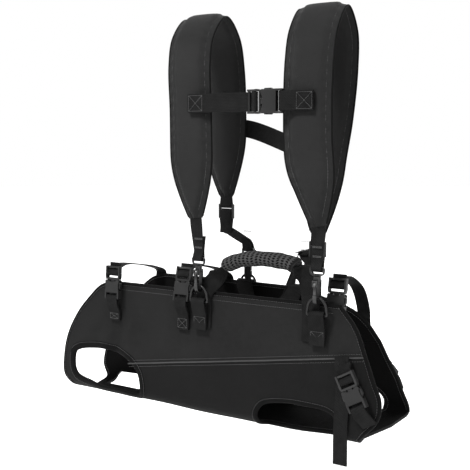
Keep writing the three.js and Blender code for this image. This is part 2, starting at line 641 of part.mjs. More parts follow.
// ---- buckled closures at the head end of the belly ----
function lowerClosure(key, outward, x) {
  const half = WEB_NARROW / 2 + 4;
  const barZ = VEST_BOTTOM + LOWER_BUCKLE_RISE;
  const at = (px, z, off) => V(px, offWall({ x: px, outward }, z, half) + outward * off, z);
  const rise = at(x, barZ + 40, 0).sub(at(x, barZ, 0)).normalize();
  const turn = THREE.MathUtils.degToRad(LOWER_BUCKLE_TURN);
  const level = at(x + 14, barZ, 0).sub(at(x - 14, barZ, 0)).normalize();
  const along = rise.clone().multiplyScalar(Math.cos(turn)).addScaledVector(level, -Math.sin(turn));
  const face = level.clone().cross(rise).normalize();
  if (face.y * outward < 0) face.negate();
  const bar = at(x, barZ, LOWER_BUCKLE_STAND + WEB_NARROW / 4);
  const origin = bar.clone().addScaledVector(along, -socketBarOf(WEB_NARROW));
  const ends = buckle("lower_" + key, WEB_NARROW, origin, along, face);
  const down = along.clone().negate();
  const first = ends.socketFold[0];
  const back = ends.socketFold[ends.socketFold.length - 1];
  const onFlap = (from, reach, off) => {
    const to = from.clone().addScaledVector(down, reach);
    return at(to.x, to.z, off);
  };
  const tab = [onFlap(first, 15, LAYER + 0.4), ...ends.socketFold, onFlap(back, 15, 0)];
  add("lower_tab_" + key, ribbon(tab, ends.across, WEB_NARROW, WEB_T, 3), WEBBING);

  const seam = seamZ(origin.x) - 4;
  const top = ends.plugFold[0];
  const exit = ends.plugFold[ends.plugFold.length - 1];
  const hangX = exit.x - 3;
  const lift = WEB_NARROW / 5;
  const upper = [at(top.x - 5, seam + 5, lift), at(top.x - 4, seam - 3, lift + 1), ...ends.plugFold];
  const turnOver = [
    V(exit.x, exit.y - outward * 1.5, exit.z + 5),
    V(exit.x - 1, exit.y - outward * 4.4, exit.z + 4),
  ];
  const hang = [0.25, 0.5, 0.75, 1].map((t) => {
    const z = mix(exit.z - 6, VEST_BOTTOM + 14, t);
    return at(hangX, z, 0.6);
  });
  const end = V(hangX, hang[3].y, VEST_BOTTOM - LOWER_TAIL_DROP);
  const path = [...upper, ...turnOver, ...hang, end];
  const onWall = level.clone().multiplyScalar(Math.sign(ends.across.dot(level)));
  const n = path.length - 1;
  const across = (v) => (v * n < 2 || v * n > upper.length + 1 ? onWall : ends.across);
  add("lower_web_" + key, ribbon(path, across, WEB_NARROW, WEB_T, 3), WEBBING);
}

// ---- handles ----
function handle(name, path, across, gripFrom, gripTo, thick) {
  add("handle_web_" + name, ribbon(path, across, WEB_WIDE, WEB_T, 3), WEBBING);
  const n = path.length - 1;
  const part = path.slice(Math.round(gripFrom * n), Math.round(gripTo * n) + 1);
  const turned = (v) => across(mix(gripFrom, gripTo, v));
  const round = (v) => Math.min(1, 0.62 + 5 * Math.min(v, 1 - v));
  const outer = ribbon(part, turned, (v) => GRIP_WIDTH * round(v), (v) => thick * round(v));
  const from = Math.round(gripFrom * n) - 1;
  const inner = path.slice(from, from + part.length + 2);
  const turnedIn = (v) => across(mix(from / n, (from + part.length + 1) / n, v));
  const hole = ribbon(inner, turnedIn, WEB_WIDE + 2 * GAP, WEB_T + 2 * GAP, 3);
  add("handle_grip_" + name, geometryOf(cut(solid(outer), solid(hole))), MESH);
}
function chestHandle() {
  const top = VEST_TOP + HANDLE_RISE;
  const y = (x, z) => offWall({ x, outward: -1 }, z, WEB_WIDE / 2, 0.5);
  const [a, b] = [RINGS.chest_tail.x + 3, RINGS.chest_head.x - 12];
  const arch = [
    [a, T - 49], [a, T - 24], [a + 2, T + 1], [a + 17, top - 34], [a + 34, top - 15],
    [a + 59, top - 4], [a + 90, top],
    [b - 44, top - 1], [b - 24, top - 5], [b - 9, top - 18], [b - 3, T + 14], [b, T - 24], [b, T - 49],
  ];
  const path = curveOf(arch.map(([x, z]) => V(x, y(x, Math.min(z, T)), z))).getPoints(48);
  const across = (v) => {
    const k = ramp(v, 0.24, 0.34) - ramp(v, 0.66, 0.75);
    return X.clone().multiplyScalar(1 - k).addScaledVector(Y, k);
  };
  handle("chest", path, across, 0.34, 0.68, GRIP_T);
}
function backHandle() {
  const [a, b] = [RINGS.back_tail.x + 3, RINGS.back_head.x - 11];
  const out = (x, z) => offWall({ x, outward: 1 }, z, WEB_WIDE / 2, 0.5);
  const wall = (x) => out(x, T);
  const inY = (x) => wall(x) - VEST_T - 2 * GAP - WEB_T - 2.4;
  const up = (x) => [
    V(x, out(x, T - 49), T - 49), V(x, out(x, T - 24), T - 24), V(x, wall(x), T - 3),
    V(x, wall(x) - 1.1, T + 2.3), V(x, (wall(x) + inY(x)) / 2, T + 3.6),
    V(x, inY(x) + 1.1, T + 2.3), V(x, inY(x), T - 3),
  ];
  const low = T - HANDLE_HANG;
  const gripY = (x) => inY(x) - 10;
  const inside = [
    V(a + 6, inY(a) - 3, T - 16), V(a + 17, gripY(a), low + 7), V(a + 31, gripY(a), low),
    V(b - 31, gripY(b), low), V(b - 17, gripY(b), low + 7), V(b - 6, inY(b) - 3, T - 16),
  ];
  const path = curveOf([...up(a), ...inside, ...up(b).reverse()]).getPoints(57);
  const n = path.length - 1;
  const across = (v) => {
    const i = THREE.MathUtils.clamp(Math.round(v * n), 1, n - 1);
    const tangent = path[i + 1].clone().sub(path[i - 1]).normalize();
    const flat = tangent.clone().cross(Y);
    const k = ramp(v, 0.3, 0.36) - ramp(v, 0.64, 0.7);
    const side = X.clone().multiplyScalar(v < 0.5 ? 1 : -1);
    return side.multiplyScalar(1 - k).addScaledVector(flat.normalize(), k);
  };
  handle("back", path, across, 0.42, 0.58, 12);
}

// ---- shoulder straps ----
// y of the pad's surface at a height, on its chest side (-1) or back side (1).
function padFace(key, z, outward) {
  const points = padPoints(key);
  const run = outward < 0 ? points.slice(0, 6) : points.slice(5).reverse();
  const i = Math.max(1, run.findIndex((p) => p.z >= z));
  const [low, high] = [run[i - 1], run[i]];
  const middle = mix(low.y, high.y, (z - low.z) / (high.z - low.z));
  return middle + outward * (PAD_T / 2 + 1);
}
const padX = (key) => (key === "tail" ? -0.5 : 0.5) * PAD_SPACING;
function chestStrap() {
  const z = -CHEST_STRAP_DROP;
  const face = Y.clone().negate();
  const buckleY = padFace("head", z, -1) - BUCKLE_T / 2 - GAP;
  const ends = buckle("chest", WEB_WIDE, V(CHEST_BUCKLE_X, buckleY, z), X.clone().negate(), face);
  const patch = (key, x, layer) => V(x, padFace(key, z, -1) - GAP - WEB_T / 2 - layer * LAYER, z);
  const tailEdge = padX("tail") + PAD_WIDTH / 2;
  const left = [
    patch("tail", padX("tail") + 6, 1),
    patch("tail", tailEdge, 1),
    ...ends.plugFold,
    patch("tail", tailEdge, 0),
    patch("tail", padX("tail") + 6, 0),
  ];
  add("chest_strap_tail", ribbon(left, ends.across, WEB_WIDE), WEBBING);
  const headEdge = padX("head") - PAD_WIDTH / 2 + 18;
  const right = [
    patch("head", padX("head") + 12, 1),
    patch("head", headEdge, 1),
    ...ends.socketFold,
    patch("head", headEdge, 0),
    patch("head", padX("head") + 12, 0),
  ];
  add("chest_strap_head", ribbon(right, ends.across, WEB_WIDE), WEBBING);
}
function backStrap() {
  const ends = [
    [padX("tail") - 20, "tail", -BACK_STRAP_DROP],
    [padX("tail") + PAD_WIDTH / 2, "tail", -BACK_STRAP_DROP - 4],
    [padX("head") - PAD_WIDTH / 2 - 12, "head", -BACK_STRAP_DROP - BACK_STRAP_FALL + 6],
    [padX("head") + 4, "head", -BACK_STRAP_DROP - BACK_STRAP_FALL],
  ];
  const path = ends.map(([x, key, z]) => V(x, padFace(key, z, 1) + GAP + WEB_T / 2, z));
  add("back_strap", strap(path, Z, WEB_WIDE, WEB_T, 10), WEBBING);
}
// A web folded round a hook's swivel eye, from the middle of its upper end.
function eyeFold(ring, from, reach) {
  const bar = eyeBar(ring.hook);
  const away = from.clone().sub(bar).setX(0).normalize();
  const face = X.clone().cross(away).normalize();
  if (face.y * ring.outward < 0) face.negate();
  const core = fold(bar, away, face, EYE_FOLD);
  core.push(core[core.length - 1].clone().addScaledVector(away, reach));
  return core;
}
const TIP_GAP = 1; // between a pad's chest-side tip and the end of its web
const LADDER_DROP = 13; // tip of the pad down to the ladder lock's upper bar
function ladderLock(name, top) {
  const half = WEB_NARROW / 2 + RAIL;
  const end = -2 * PITCH;
  const frame = new THREE.Matrix4().makeBasis(X, Z, Y.clone().negate()).setPosition(top);
  const rail = (side) =>
    block(V(side * (half - RAIL / 2 + GAP / 2), end / 2, 0), [RAIL - GAP, 2 * BAR_R - end, 2 * BAR_R + 0.6]);
  const bar = (y) => rod(V(0, y, 0), X, BAR_R, 2 * half - 2, 10);
  const body = join(rail(1), rail(-1), bar(0), bar(-PITCH), bar(end)).transform(frame.toArray());
  add("ladder_lock_" + name, geometryOf(body), PLASTIC);
}
function shoulderStrap(key) {
  const points = padPoints(key);
  const tip = points[0];
  const backTip = points[points.length - 1];

  const chestRing = RINGS["chest_" + key];
  const hang = curveOf(points).getTangent(0).negate();
  const start = tip.clone().addScaledVector(hang, TIP_GAP);
  const clear = start.clone().addScaledVector(hang, 5);
  const chestEye = eyeFold(chestRing, clear, 20);
  const narrow = (v) => mix(WEB_NARROW, EYE_WEB, ramp(v, 0, 0.35));
  const front = [start, ...strapPoints(clear, chestEye[0], 5), ...chestEye];
  add("front_web_" + key, ribbon(front, X, narrow, WEB_T, 3), WEBBING);

  const bar = V(backTip.x, backTip.y, backTip.z - LADDER_DROP);
  ladderLock(key, bar);
  const up = fold(bar, Z, Y);
  const tab = [V(bar.x, bar.y + SEWN, bar.z + 18), ...up, V(bar.x, bar.y - SEWN, bar.z + 18)];
  const padAndTab = join(solid(strap(points, X, padWidth, PAD_T, 40)), solid(ribbon(tab, X, WEB_NARROW)));
  add("shoulder_pad_" + key, geometryOf(padAndTab), PAD);
  const lower = V(bar.x, bar.y, bar.z - PITCH);
  const backRing = RINGS["back_" + key];
  const backEye = eyeFold(backRing, V(lower.x, lower.y, lower.z - PITCH), 6);
  const lock = fold(lower, Z.clone().negate(), Y, FOLD, PITCH + 3).reverse();
  const tail = lock[0].clone().add(V(0, -1, -10));
  const lean = (v) => mix(WEB_NARROW, EYE_WEB, ramp(v, 0.55, 0.7));
  const last = lock[lock.length - 1].clone().add(V(0, 0, -5));
  const rear = [tail, ...lock, ...strapPoints(last, backEye[0], 6), ...backEye];
  add("rear_web_" + key, ribbon(rear, X, lean, WEB_T, 3), WEBBING);
}
const strapPoints = (from, to, steps) =>
  Array.from({ length: steps }, (_, i) => from.clone().lerp(to, i / steps));

ringStations();
vestPanels();
shoulderStrap("tail");
shoulderStrap("head");
chestStrap();
backStrap();
topStrap("tail", TOP_STRAPS.tail, -1, 4, TOP_TAIL_DROP);
topStrap("middle", TOP_STRAPS.middle, -1, 12);
topStrap("head", TOP_STRAPS.head, 1, 10);
lowerClosure("chest", -1, LOWER_BUCKLE_X);
lowerClosure("back", 1, LOWER_BUCKLE_X - 26);
chestHandle();
backHandle();

export default object;
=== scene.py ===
import math

import bmesh
import bpy
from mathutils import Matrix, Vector


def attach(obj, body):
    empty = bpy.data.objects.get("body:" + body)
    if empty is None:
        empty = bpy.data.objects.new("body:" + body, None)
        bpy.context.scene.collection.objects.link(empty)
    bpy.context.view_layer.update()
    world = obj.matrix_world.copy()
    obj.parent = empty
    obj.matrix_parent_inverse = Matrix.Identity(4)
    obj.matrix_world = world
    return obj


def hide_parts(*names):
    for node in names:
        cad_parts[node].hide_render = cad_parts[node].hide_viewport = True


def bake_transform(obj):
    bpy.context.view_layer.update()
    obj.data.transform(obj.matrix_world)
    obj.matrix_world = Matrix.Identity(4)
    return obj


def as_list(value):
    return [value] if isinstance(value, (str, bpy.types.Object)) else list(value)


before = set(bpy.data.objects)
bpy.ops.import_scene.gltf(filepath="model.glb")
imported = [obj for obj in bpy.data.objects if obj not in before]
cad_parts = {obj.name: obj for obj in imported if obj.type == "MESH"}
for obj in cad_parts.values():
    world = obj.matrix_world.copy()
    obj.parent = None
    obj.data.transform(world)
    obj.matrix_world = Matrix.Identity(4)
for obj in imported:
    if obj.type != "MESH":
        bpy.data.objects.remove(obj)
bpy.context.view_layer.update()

# ---- sizes, in millimetres in the row frame ----
MM = 0.001
WEB_T = 1.8
WEB_WIDE, WEB_RING, WEB_NARROW, EYE_WEB = 25, 22, 19, 15
GAP = 0.4
PAD_SPACING, PAD_WIDTH, PAD_T, PAD_TIP = 184, 70, 13, 24
TAIL, HEAD, TOP, BOTTOM = -325, 201, -369, -538
VEST_T, FOLD_R = 4, 20
BAR_R, SLOT, END_BAR = 1.8, 5, 3
PITCH = 2 * BAR_R + SLOT
PLUG_BAR = END_BAR + SLOT + BAR_R
LOCK_DROP = 13
TOP_BUCKLE_DROP, TOP_TAIL_DROP, TOP_TAB_DROP = 13, 21, 56
TOP_BUCKLE_STAND, TOP_FOLD = 8.4, 22
TOP_TAIL_X, TOP_MIDDLE_X, TOP_HEAD_X = -220, -97, 128
LOWER_CHEST_X, LOWER_BACK_X = 178, 152
LOWER_BAR_RISE, LOWER_LEAN = 50, 29
LOWER_BUCKLE_STAND = 7.05 + WEB_NARROW / 4
RING_R, RING_H = 1.7, 21
RINGS = {
    "chest_tail": (-67, -1), "chest_head": (113, -1),
    "back_tail": (-65, 1), "back_head": (35, 1),
}
RING_BAR_Z = TOP - 12
HOOK_Z = -332.1
EYE_BAR_Z = HOOK_Z + 10.5
LAYER = WEB_T + 0.6
SEWN = LAYER / 2
FOLD = BAR_R + GAP + WEB_T / 2
RING_FOLD = 1.42 * RING_R + GAP + WEB_T / 2
EYE_FOLD = 0.71 * 3 + GAP + WEB_T / 2
HANDLE_LAYER = GAP + WEB_T + 0.7
X, Y, Z = Vector((1, 0, 0)), Vector((0, 1, 0)), Vector((0, 0, 1))


def V(x, y, z):
    return Vector((x, y, z))


def mix(a, b, t):
    return a + (b - a) * t


def ramp(v, low, high):
    t = min(1, max(0, (v - low) / (high - low)))
    return t * t * (3 - 2 * t)


def spline(points, steps, closed=False):
    """Points on a smooth curve through the given ones, so many to a span."""
    p = [Vector(q) for q in points]
    n = len(p)
    out = []
    for i in range(n if closed else n - 1):
        a, b = p[i], p[(i + 1) % n]
        before = p[(i - 1) % n] if closed or i else a * 2 - b
        after = p[(i + 2) % n] if closed or i < n - 2 else b * 2 - a
        d0, d1, d2 = ((q - r).length ** 0.5 or 1e-6 for q, r in ((a, before), (b, a), (after, b)))
        m1 = ((a - before) / d0 - (b - before) / (d0 + d1) + (b - a) / d1) * d1
        m2 = ((b - a) / d1 - (after - a) / (d1 + d2) + (after - b) / d2) * d1
        for k in range(steps):
            t = k / steps
            out.append(
                a * (2 * t**3 - 3 * t**2 + 1) + m1 * (t**3 - 2 * t**2 + t)
                + b * (3 * t**2 - 2 * t**3) + m2 * (t**3 - t**2)
            )
    if not closed:
        out.append(p[-1])
    return out


def lengths(path):
    """How far along a path each of its points is."""
    far = [0.0]
    for a, b in zip(path, path[1:]):
        far.append(far[-1] + (b - a).length)
    return far


def even(points, count):
    """The same path with so many points an equal way apart."""
    far = lengths(points)
    out, i = [], 0
    for k in range(count):
        want = far[-1] * k / (count - 1)
        while i < len(points) - 2 and far[i + 1] < want:
            i += 1
        span = far[i + 1] - far[i] or 1
        out.append(points[i].lerp(points[i + 1], (want - far[i]) / span))
    return out


# ---- materials ----
class Socket:
    """A node's output that can be added, multiplied and compared."""

    def __init__(self, shade, link):
        self.shade, self.link = shade, link

    def math(self, operation, *others):
        return self.shade.node("ShaderNodeMath", (self, *others), operation=operation)

    def __add__(self, other):
        return self.math("ADD", other)

    def __sub__(self, other):
        return self.math("SUBTRACT", other)

    def __rsub__(self, other):
        return self.shade.node("ShaderNodeMath", (other, self), operation="SUBTRACT")

    def __mul__(self, other):
        return self.math("MULTIPLY", other)

    __radd__, __rmul__ = __add__, __mul__

    def wave(self, pitch):
        """Swings from -1 to 1 once in each pitch."""
        return (self * (2 * math.pi / pitch)).math("SINE")

    def size(self):
        return self.math("ABSOLUTE")

    def above(self, level, soft):
        """0 below the level, 1 above it, over a soft step."""
        span = (self, level - soft, level + soft, 0.0, 1.0)
        return self.shade.node("ShaderNodeMapRange", span, interpolation_type="SMOOTHSTEP")


class Shade:
    """A material built from nodes."""

    def __init__(self, name, shine=0.5):
        self.material = bpy.data.materials.new(name)
        self.material.use_nodes = True
        self.tree = self.material.node_tree
        self.surface = self.tree.nodes["Principled BSDF"]
        self.surface.inputs["Specular IOR Level"].default_value = shine

    def node(self, kind, sockets=(), output=0, **settings):
        made = self.tree.nodes.new(kind)
        for key, setting in settings.items():
            setattr(made, key, setting)
        pairs = sockets.items() if isinstance(sockets, dict) else enumerate(sockets)
        for key, given in pairs:
            if isinstance(given, Socket):
                self.tree.links.new(given.link, made.inputs[key])
            else:
                made.inputs[key].default_value = given
        return Socket(self, made.outputs[output])

    def set(self, name, given):
        if isinstance(given, Socket):
            self.tree.links.new(given.link, self.surface.inputs[name])
        else:
            self.surface.inputs[name].default_value = given

    def place(self):
        """The three object coordinates, in metres."""
        at = self.node("ShaderNodeTexCoord", output=3)
        parts = [self.node("ShaderNodeSeparateXYZ", (at,), output=i) for i in range(3)]
        return at, parts

    def mapped(self):
        """The two UV coordinates, in metres."""
        at = self.node("ShaderNodeTexCoord", output=2)
        return [self.node("ShaderNodeSeparateXYZ", (at,), output=i) for i in range(2)]

    def noise(self, at, scale, detail=3.0):
        given = {"Vector": at, "Scale": scale, "Detail": detail, "Roughness": 0.55}
        return self.node("ShaderNodeTexNoise", given)

    def blend(self, share, first, second):
        return self.node(
            "ShaderNodeMix", {0: share, 6: (*first, 1), 7: (*second, 1)}, output=2, data_type="RGBA"
        )

    def relief(self, height, depth):
        bump = self.node("ShaderNodeBump", {"Height": height, "Distance": depth, "Strength": 1.0})
        self.set("Normal", bump)


def grey(level):
    """A neutral linear colour."""
    return (level, level, level)


def woven(name, dark, light, yarn, rough, depth, by_uv=True, shine=0.04):
    """Plain weave: yarns that pass over and under each other, with uneven dye and slubs."""
    s = Shade(name, shine=shine)
    at, (x, y, z) = s.place()
    u, v = s.mapped() if by_uv else (x, z + y * 0.31)
    warp, weft = u.wave(2 * yarn), v.wave(2 * yarn)
    cloth = (warp * weft).size() * 0.6 + ((u.wave(yarn) + v.wave(yarn)) * 0.2 + 0.4)
    slub = s.noise(at, 160.0)
    patch = s.noise(at, 11.0, 4.0)
    tone = cloth * 0.42 + slub * 0.33 + patch * 0.42
    s.set("Base Color", s.blend(tone.above(0.58, 0.42), dark, light))
    s.set("Roughness", slub * 0.16 + (rough - 0.08))
    s.relief(cloth * 0.7 + slub * 0.8 + patch * 0.5, depth)
    return s.material


def strap_weave():
    """Heavy webbing: slanting ribs that change direction."""
    s = Shade("webbing", shine=0.05)
    at, _ = s.place()
    u, v = s.mapped()
    slant = (v + u.size() * 0.7).wave(0.0021)
    along = u.wave(0.0019)
    rib = slant * 0.5 + along * 0.25
    wear = s.noise(at, 90.0, 5.0)
    s.set("Base Color", s.blend((rib * 0.4 + wear).above(0.5, 0.5), grey(0.0016), grey(0.0085)))
    s.set("Roughness", wear * 0.2 + 0.52)
    s.relief(rib + wear * 0.6, 0.0004)
    return s.material


def spacer_mesh():
    """Air mesh: a knitted face with rows of staggered round holes."""
    s = Shade("air mesh", shine=0.06)
    at, _ = s.place()
    u, v = s.mapped()
    a, b = (u + v * 0.58).wave(0.0074), (u - v * 0.58).wave(0.0074)
    hole = (a * b * 0.5 + 0.5).above(0.6, 0.08)
    yarn = s.noise(at, 420.0, 2.0)
    fold = s.noise(at, 22.0, 3.0)
    # The holes are painted near black: painted shade inside the holes.
    s.set("Base Color", s.blend(hole, grey(0.03), grey(0.0005)))
    s.set("Roughness", yarn * 0.2 + 0.66)
    s.relief((1 - hole) + yarn * 0.25 + fold * 0.5, 0.0014)
    return s.material


def moulded():
    """Matt moulded plastic with a fine spark-eroded grain and rubbed high spots."""
    s = Shade("moulded plastic", shine=0.2)
    at, _ = s.place()
    grain = s.noise(at, 1400.0, 2.0)
    rub = s.noise(at, 60.0, 4.0)
    edge = s.node("ShaderNodeNewGeometry", output=7)
    worn = edge.above(0.54, 0.05)
    s.set("Base Color", s.blend(worn * 0.6 + rub * 0.25, grey(0.002), grey(0.016)))
    s.set("Roughness", rub * 0.18 + 0.36)
    s.relief(grain + rub * 0.3, 0.00006)
    return s.material


def gunmetal():
    """Black-plated steel, brighter where hooks and rings rub."""
    s = Shade("gunmetal")
    at, _ = s.place()
    rub = s.noise(at, 130.0, 5.0)
    fine = s.noise(at, 900.0, 2.0)
    edge = s.node("ShaderNodeNewGeometry", output=7)
    worn = edge.above(0.55, 0.06)
    s.set("Base Color", s.blend(worn * 0.7 + rub * 0.3, grey(0.01), grey(0.06)))
    s.set("Metallic", 1.0)
    s.set("Roughness", rub * 0.22 + 0.32)
    s.relief(fine * 0.5 + rub, 0.00008)
    return s.material


def sewing_thread():
    """Twisted thread with a slight shine."""
    s = Shade("sewing thread")
    at, (x, y, z) = s.place()
    twist = (x + y + z).wave(0.0009)
    fuzz = s.noise(at, 800.0)
    s.set("Base Color", s.blend(twist * 0.2 + fuzz, grey(0.02), grey(0.06)))
    s.set("Roughness", fuzz * 0.2 + 0.42)
    s.relief(twist + fuzz, 0.0001)
    return s.material


SHELL = woven("upper shell cloth", grey(0.004), grey(0.0125), 0.00075, 0.6, 0.0004)
BELLY = woven("belly cloth", grey(0.0025), grey(0.008), 0.00075, 0.66, 0.0004)
LINING = woven("lining cloth", grey(0.0008), grey(0.0022), 0.0006, 0.8, 0.0003)
BINDING = woven("edge binding", grey(0.0008), grey(0.003), 0.0009, 0.6, 0.0004)
# The seam welt's pale greys are a painted highlight along the ridge of the seam.
WELT_PAINTED_HIGHLIGHT = woven("seam welt painted highlight", grey(0.02), grey(0.045), 0.0009, 0.55, 0.0003)
PAD = woven("pad cloth", grey(0.0015), grey(0.0095), 0.0008, 0.46, 0.0004, by_uv=False, shine=0.09)
WEBBING = strap_weave()
MESH = spacer_mesh()
PLASTIC = moulded()
METAL = gunmetal()
THREAD = sewing_thread()


# ---- pieces from operators ----
def shade_smooth(bm, sharp):
    """Smooth faces, with an edge left where they turn by more than so many degrees."""
    for face in bm.faces:
        face.smooth = True
    for edge in bm.edges:
        if edge.is_manifold and edge.calc_face_angle(0) > math.radians(sharp):
            edge.smooth = False


def as_object(name, bm):
    """An object in the scene, made of a bmesh that is then let go."""
    mesh = bpy.data.meshes.new(name)
    bm.to_mesh(mesh)
    bm.free()
    piece = bpy.data.objects.new(name, mesh)
    bpy.context.scene.collection.objects.link(piece)
    return piece


def finished(name, bm, finish, body, stands_for=(), rounded=0, sharp=40):
    """Makes a bmesh in millimetres into a piece that rides on a body."""
    bmesh.ops.scale(bm, vec=(MM, MM, MM), verts=bm.verts)
    shade_smooth(bm, sharp)
    piece = as_object(name, bm)
    for material in finish if isinstance(finish, (list, tuple)) else [finish]:
        piece.data.materials.append(material)
    if rounded:
        bevel = piece.modifiers.new("edges", "BEVEL")
        bevel.width, bevel.segments = rounded * MM, 2
        bevel.limit_method, bevel.angle_limit = "ANGLE", math.radians(35)
    if body:
        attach(piece, body)
    if stands_for:
        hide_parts(*stands_for)
    return piece


def grid(across, along):
    """A square grid bmesh with its vertices, and each one's place from 0 to 1 both ways."""
    bm = bmesh.new()
    bmesh.ops.create_grid(bm, x_segments=across, y_segments=along, size=0.5)
    return bm, [(v, v.co.x + 0.5, v.co.y + 0.5) for v in bm.verts]


def map_by(bm, at):
    """Gives each corner a UV from a function of its vertex."""
    layer = bm.loops.layers.uv.new("UVMap")
    for face in bm.faces:
        for loop in face.loops:
            loop[layer].uv = at(loop.vert)


def value(v, t):
    """A number or direction that may be a function of the share of the way along."""
    return v(t) if callable(v) else v


def heading(path, i, closed):
    """Which way a path goes at point i."""
    last = len(path) - 1
    ahead = path[(i + 1) % last] if closed else path[min(i + 1, last)]
    behind = path[(i - 1) % last] if closed else path[max(i - 1, 0)]
    return (ahead - behind).normalized()


def squared(side, along):
    """A side direction turned square to the way along."""
    return (side - along * side.dot(along)).normalized()


def frames(path, across, closed=False):
    """Along, side and outward directions at each point of a path."""
    last = len(path) - 1
    out = []
    for i in range(last + 1):
        along = heading(path, i, closed)
        side = squared(value(across, i / last), along)
        out.append((along, side, side.cross(along)))
    return out


def bar_frames(path, closed):
    """Frames that don't twist, carried along the path."""
    out, side = [], None
    for i in range(len(path)):
        along = heading(path, i, closed)
        side = squared(side or along.orthogonal(), along)
        out.append((along, side, side.cross(along)))
    if closed:
        out[-1] = out[0]
    return out


def webbing(name, path, across, width, body, stands_for=()):
    """Flat webbing along a path, with its weave mapped along it and softened edges."""
    last = len(path) - 1
    turned, far = frames(path, across), lengths(path)
    bm, placed = grid(4, last)
    uv = {}
    for v, u, t in placed:
        i = round(t * last)
        wide = value(width, i / last)
        uv[v.index] = (u * wide * MM, far[i] * MM)
        v.co = path[i] + turned[i][1] * (u - 0.5) * wide + turned[i][2] * (-WEB_T / 2)
    map_by(bm, lambda v: uv[v.index])
    for face in bm.faces:
        face.normal_update()
    bm.faces.ensure_lookup_table()
    if bm.faces[0].normal.dot(turned[0][2]) < 0:
        bmesh.ops.reverse_faces(bm, faces=bm.faces)
    bmesh.ops.solidify(bm, geom=bm.faces[:], thickness=-WEB_T)
    bmesh.ops.recalc_face_normals(bm, faces=bm.faces)
    return finished(name, bm, WEBBING, body, stands_for, rounded=0.45)


def round_by(u, wide, deep):
    """How far round an oval the share u of a turn comes."""
    steps = 24
    turn = [2 * math.pi * u * k / steps for k in range(steps + 1)]
    return lengths([V(wide * math.cos(a), deep * math.sin(a), 0) for a in turn])[-1]


def tube_mesh(path, radius, sides=12, closed=False, across=None):
    """A bar along a path. radius may vary along it, and is a pair for an oval bar."""
    last = len(path) - (0 if closed else 1)
    if closed:
        path = list(path) + [path[0]]
    turned = bar_frames(path, closed) if across is None else frames(path, across, closed)
    far = lengths(path)
    bm, placed = grid(sides, last)
    uv = {}
    for v, u, t in placed:
        i = round(t * last)
        angle = 2 * math.pi * u
        r = value(radius, i / last)
        wide, deep = r if isinstance(r, tuple) else (r, r)
        around = round_by(u, wide, deep) if wide != deep else 2 * math.pi * u * wide
        uv[v.index] = (around * MM, far[i] * MM)
        v.co = path[i] + turned[i][1] * wide * math.cos(angle) + turned[i][2] * deep * math.sin(angle)
    map_by(bm, lambda v: uv[v.index])
    bmesh.ops.remove_doubles(bm, verts=bm.verts, dist=0.01)
    if not closed:
        bmesh.ops.holes_fill(bm, edges=[e for e in bm.edges if e.is_boundary])
    bmesh.ops.recalc_face_normals(bm, faces=bm.faces)
    return bm


def tube(name, path, radius, body, finish, slot, stands_for=(), **shape):
    return finished(name, tube_mesh(path, radius, **shape), finish, body, stands_for, sharp=50)


def joined(name, parts, finish, body):
    """Several bmeshes in one piece."""
    whole = bmesh.new()
    for part in parts:
        mesh = bpy.data.meshes.new("part")
        part.to_mesh(mesh)
        part.free()
        whole.from_mesh(mesh)
        bpy.data.meshes.remove(mesh)
    return finished(name, whole, finish, body)


def bead(bm, at, along, up, length, wide, tall):
    """One stitch: a short raised dash."""
    side = up.cross(along).normalized()
    made = bmesh.ops.create_cube(bm, size=1)["verts"]
    for v in made:
        x, y, z = v.co
        pinch = 0.55 if abs(x) > 0.49 else 1
        v.co = at + along * x * length + side * y * wide * pinch + up * z * tall


def picked(directions):
    """The one of the directions that lies at a share of the way along."""
    return lambda t: directions[min(len(directions) - 1, int(t * len(directions)))]


def stitched(bm, path, up, pitch=3.0, length=2.1, wide=0.55, tall=0.5):
    """A row of stitches along a path. up is one direction or a function of the place."""
    count = max(2, int(lengths(path)[-1] / pitch))
    points = even(path, count + 1)
    for i in range(count):
        a, b = points[i], points[i + 1]
        along = (b - a).normalized()
        bead(bm, (a + b) / 2, along, squared(value(up, (i + 0.5) / count), along), length, wide, tall)


def stitches(name, rows):
    """Rows of stitches, as one piece of the harness."""
    finished(name, rows, THREAD, "harness")


def box_cross(bm, corner, along, side, up, long, wide):
    """A sewn box with a cross in it, on a patch of webbing."""
    inset = 2.2
    a = corner + along * inset + side * inset
    b = corner + along * (long - inset) + side * inset
    c = corner + along * (long - inset) + side * (wide - inset)
    d = corner + along * inset + side * (wide - inset)
    for p, q in ((a, b), (b, c), (c, d), (d, a), (a, c), (b, d)):
        stitched(bm, [p, q], up, pitch=2.4, length=1.8)


# ---- the wrap's shape ----
def section(x):
    """The tops and feet of the two side panels at x."""
    along = min(1, max(0, (x - TAIL) / (HEAD - TAIL)))
    at, tops, feet = (0, 0.45, 0.72, 1), (54, 58, 52, 26), (14, 42, 72, 104)
    i = 0 if along < at[1] else 1 if along < at[2] else 2
    part = (along - at[i]) / (at[i + 1] - at[i])
    easy = ramp(part, 0, 1) * 0.5 + part * 0.5
    return (
        V(x, -45, TOP), V(x, mix(-50, -63, along), BOTTOM),
        V(x, mix(feet[i], feet[i + 1], easy), BOTTOM), V(x, mix(tops[i], tops[i + 1], easy), TOP),
    )


def wall_y(x, z, side):
    """How far out a side panel's middle is at x and z."""
    chest_top, chest_foot, back_foot, back_top = section(x)
    down = (TOP - z) / (TOP - BOTTOM)
    if side < 0:
        return mix(chest_top.y, chest_foot.y, down)
    return mix(back_top.y, back_foot.y, down)


def off_wall(x, z, side, half, under=0.0):
    """Where webbing of that half width lies on a side panel, over so much under it."""
    furthest = max(side * wall_y(x - half, z, side), side * wall_y(x + half, z, side))
    return side * (furthest + VEST_T / 2 + GAP + WEB_T / 2 + under + 0.4)


def round_corner(a, corner, b, t):
    p = corner + (a - corner).normalized() * FOLD_R
    q = corner + (b - corner).normalized() * FOLD_R
    return p * (1 - t) ** 2 + corner * 2 * t * (1 - t) + q * t**2


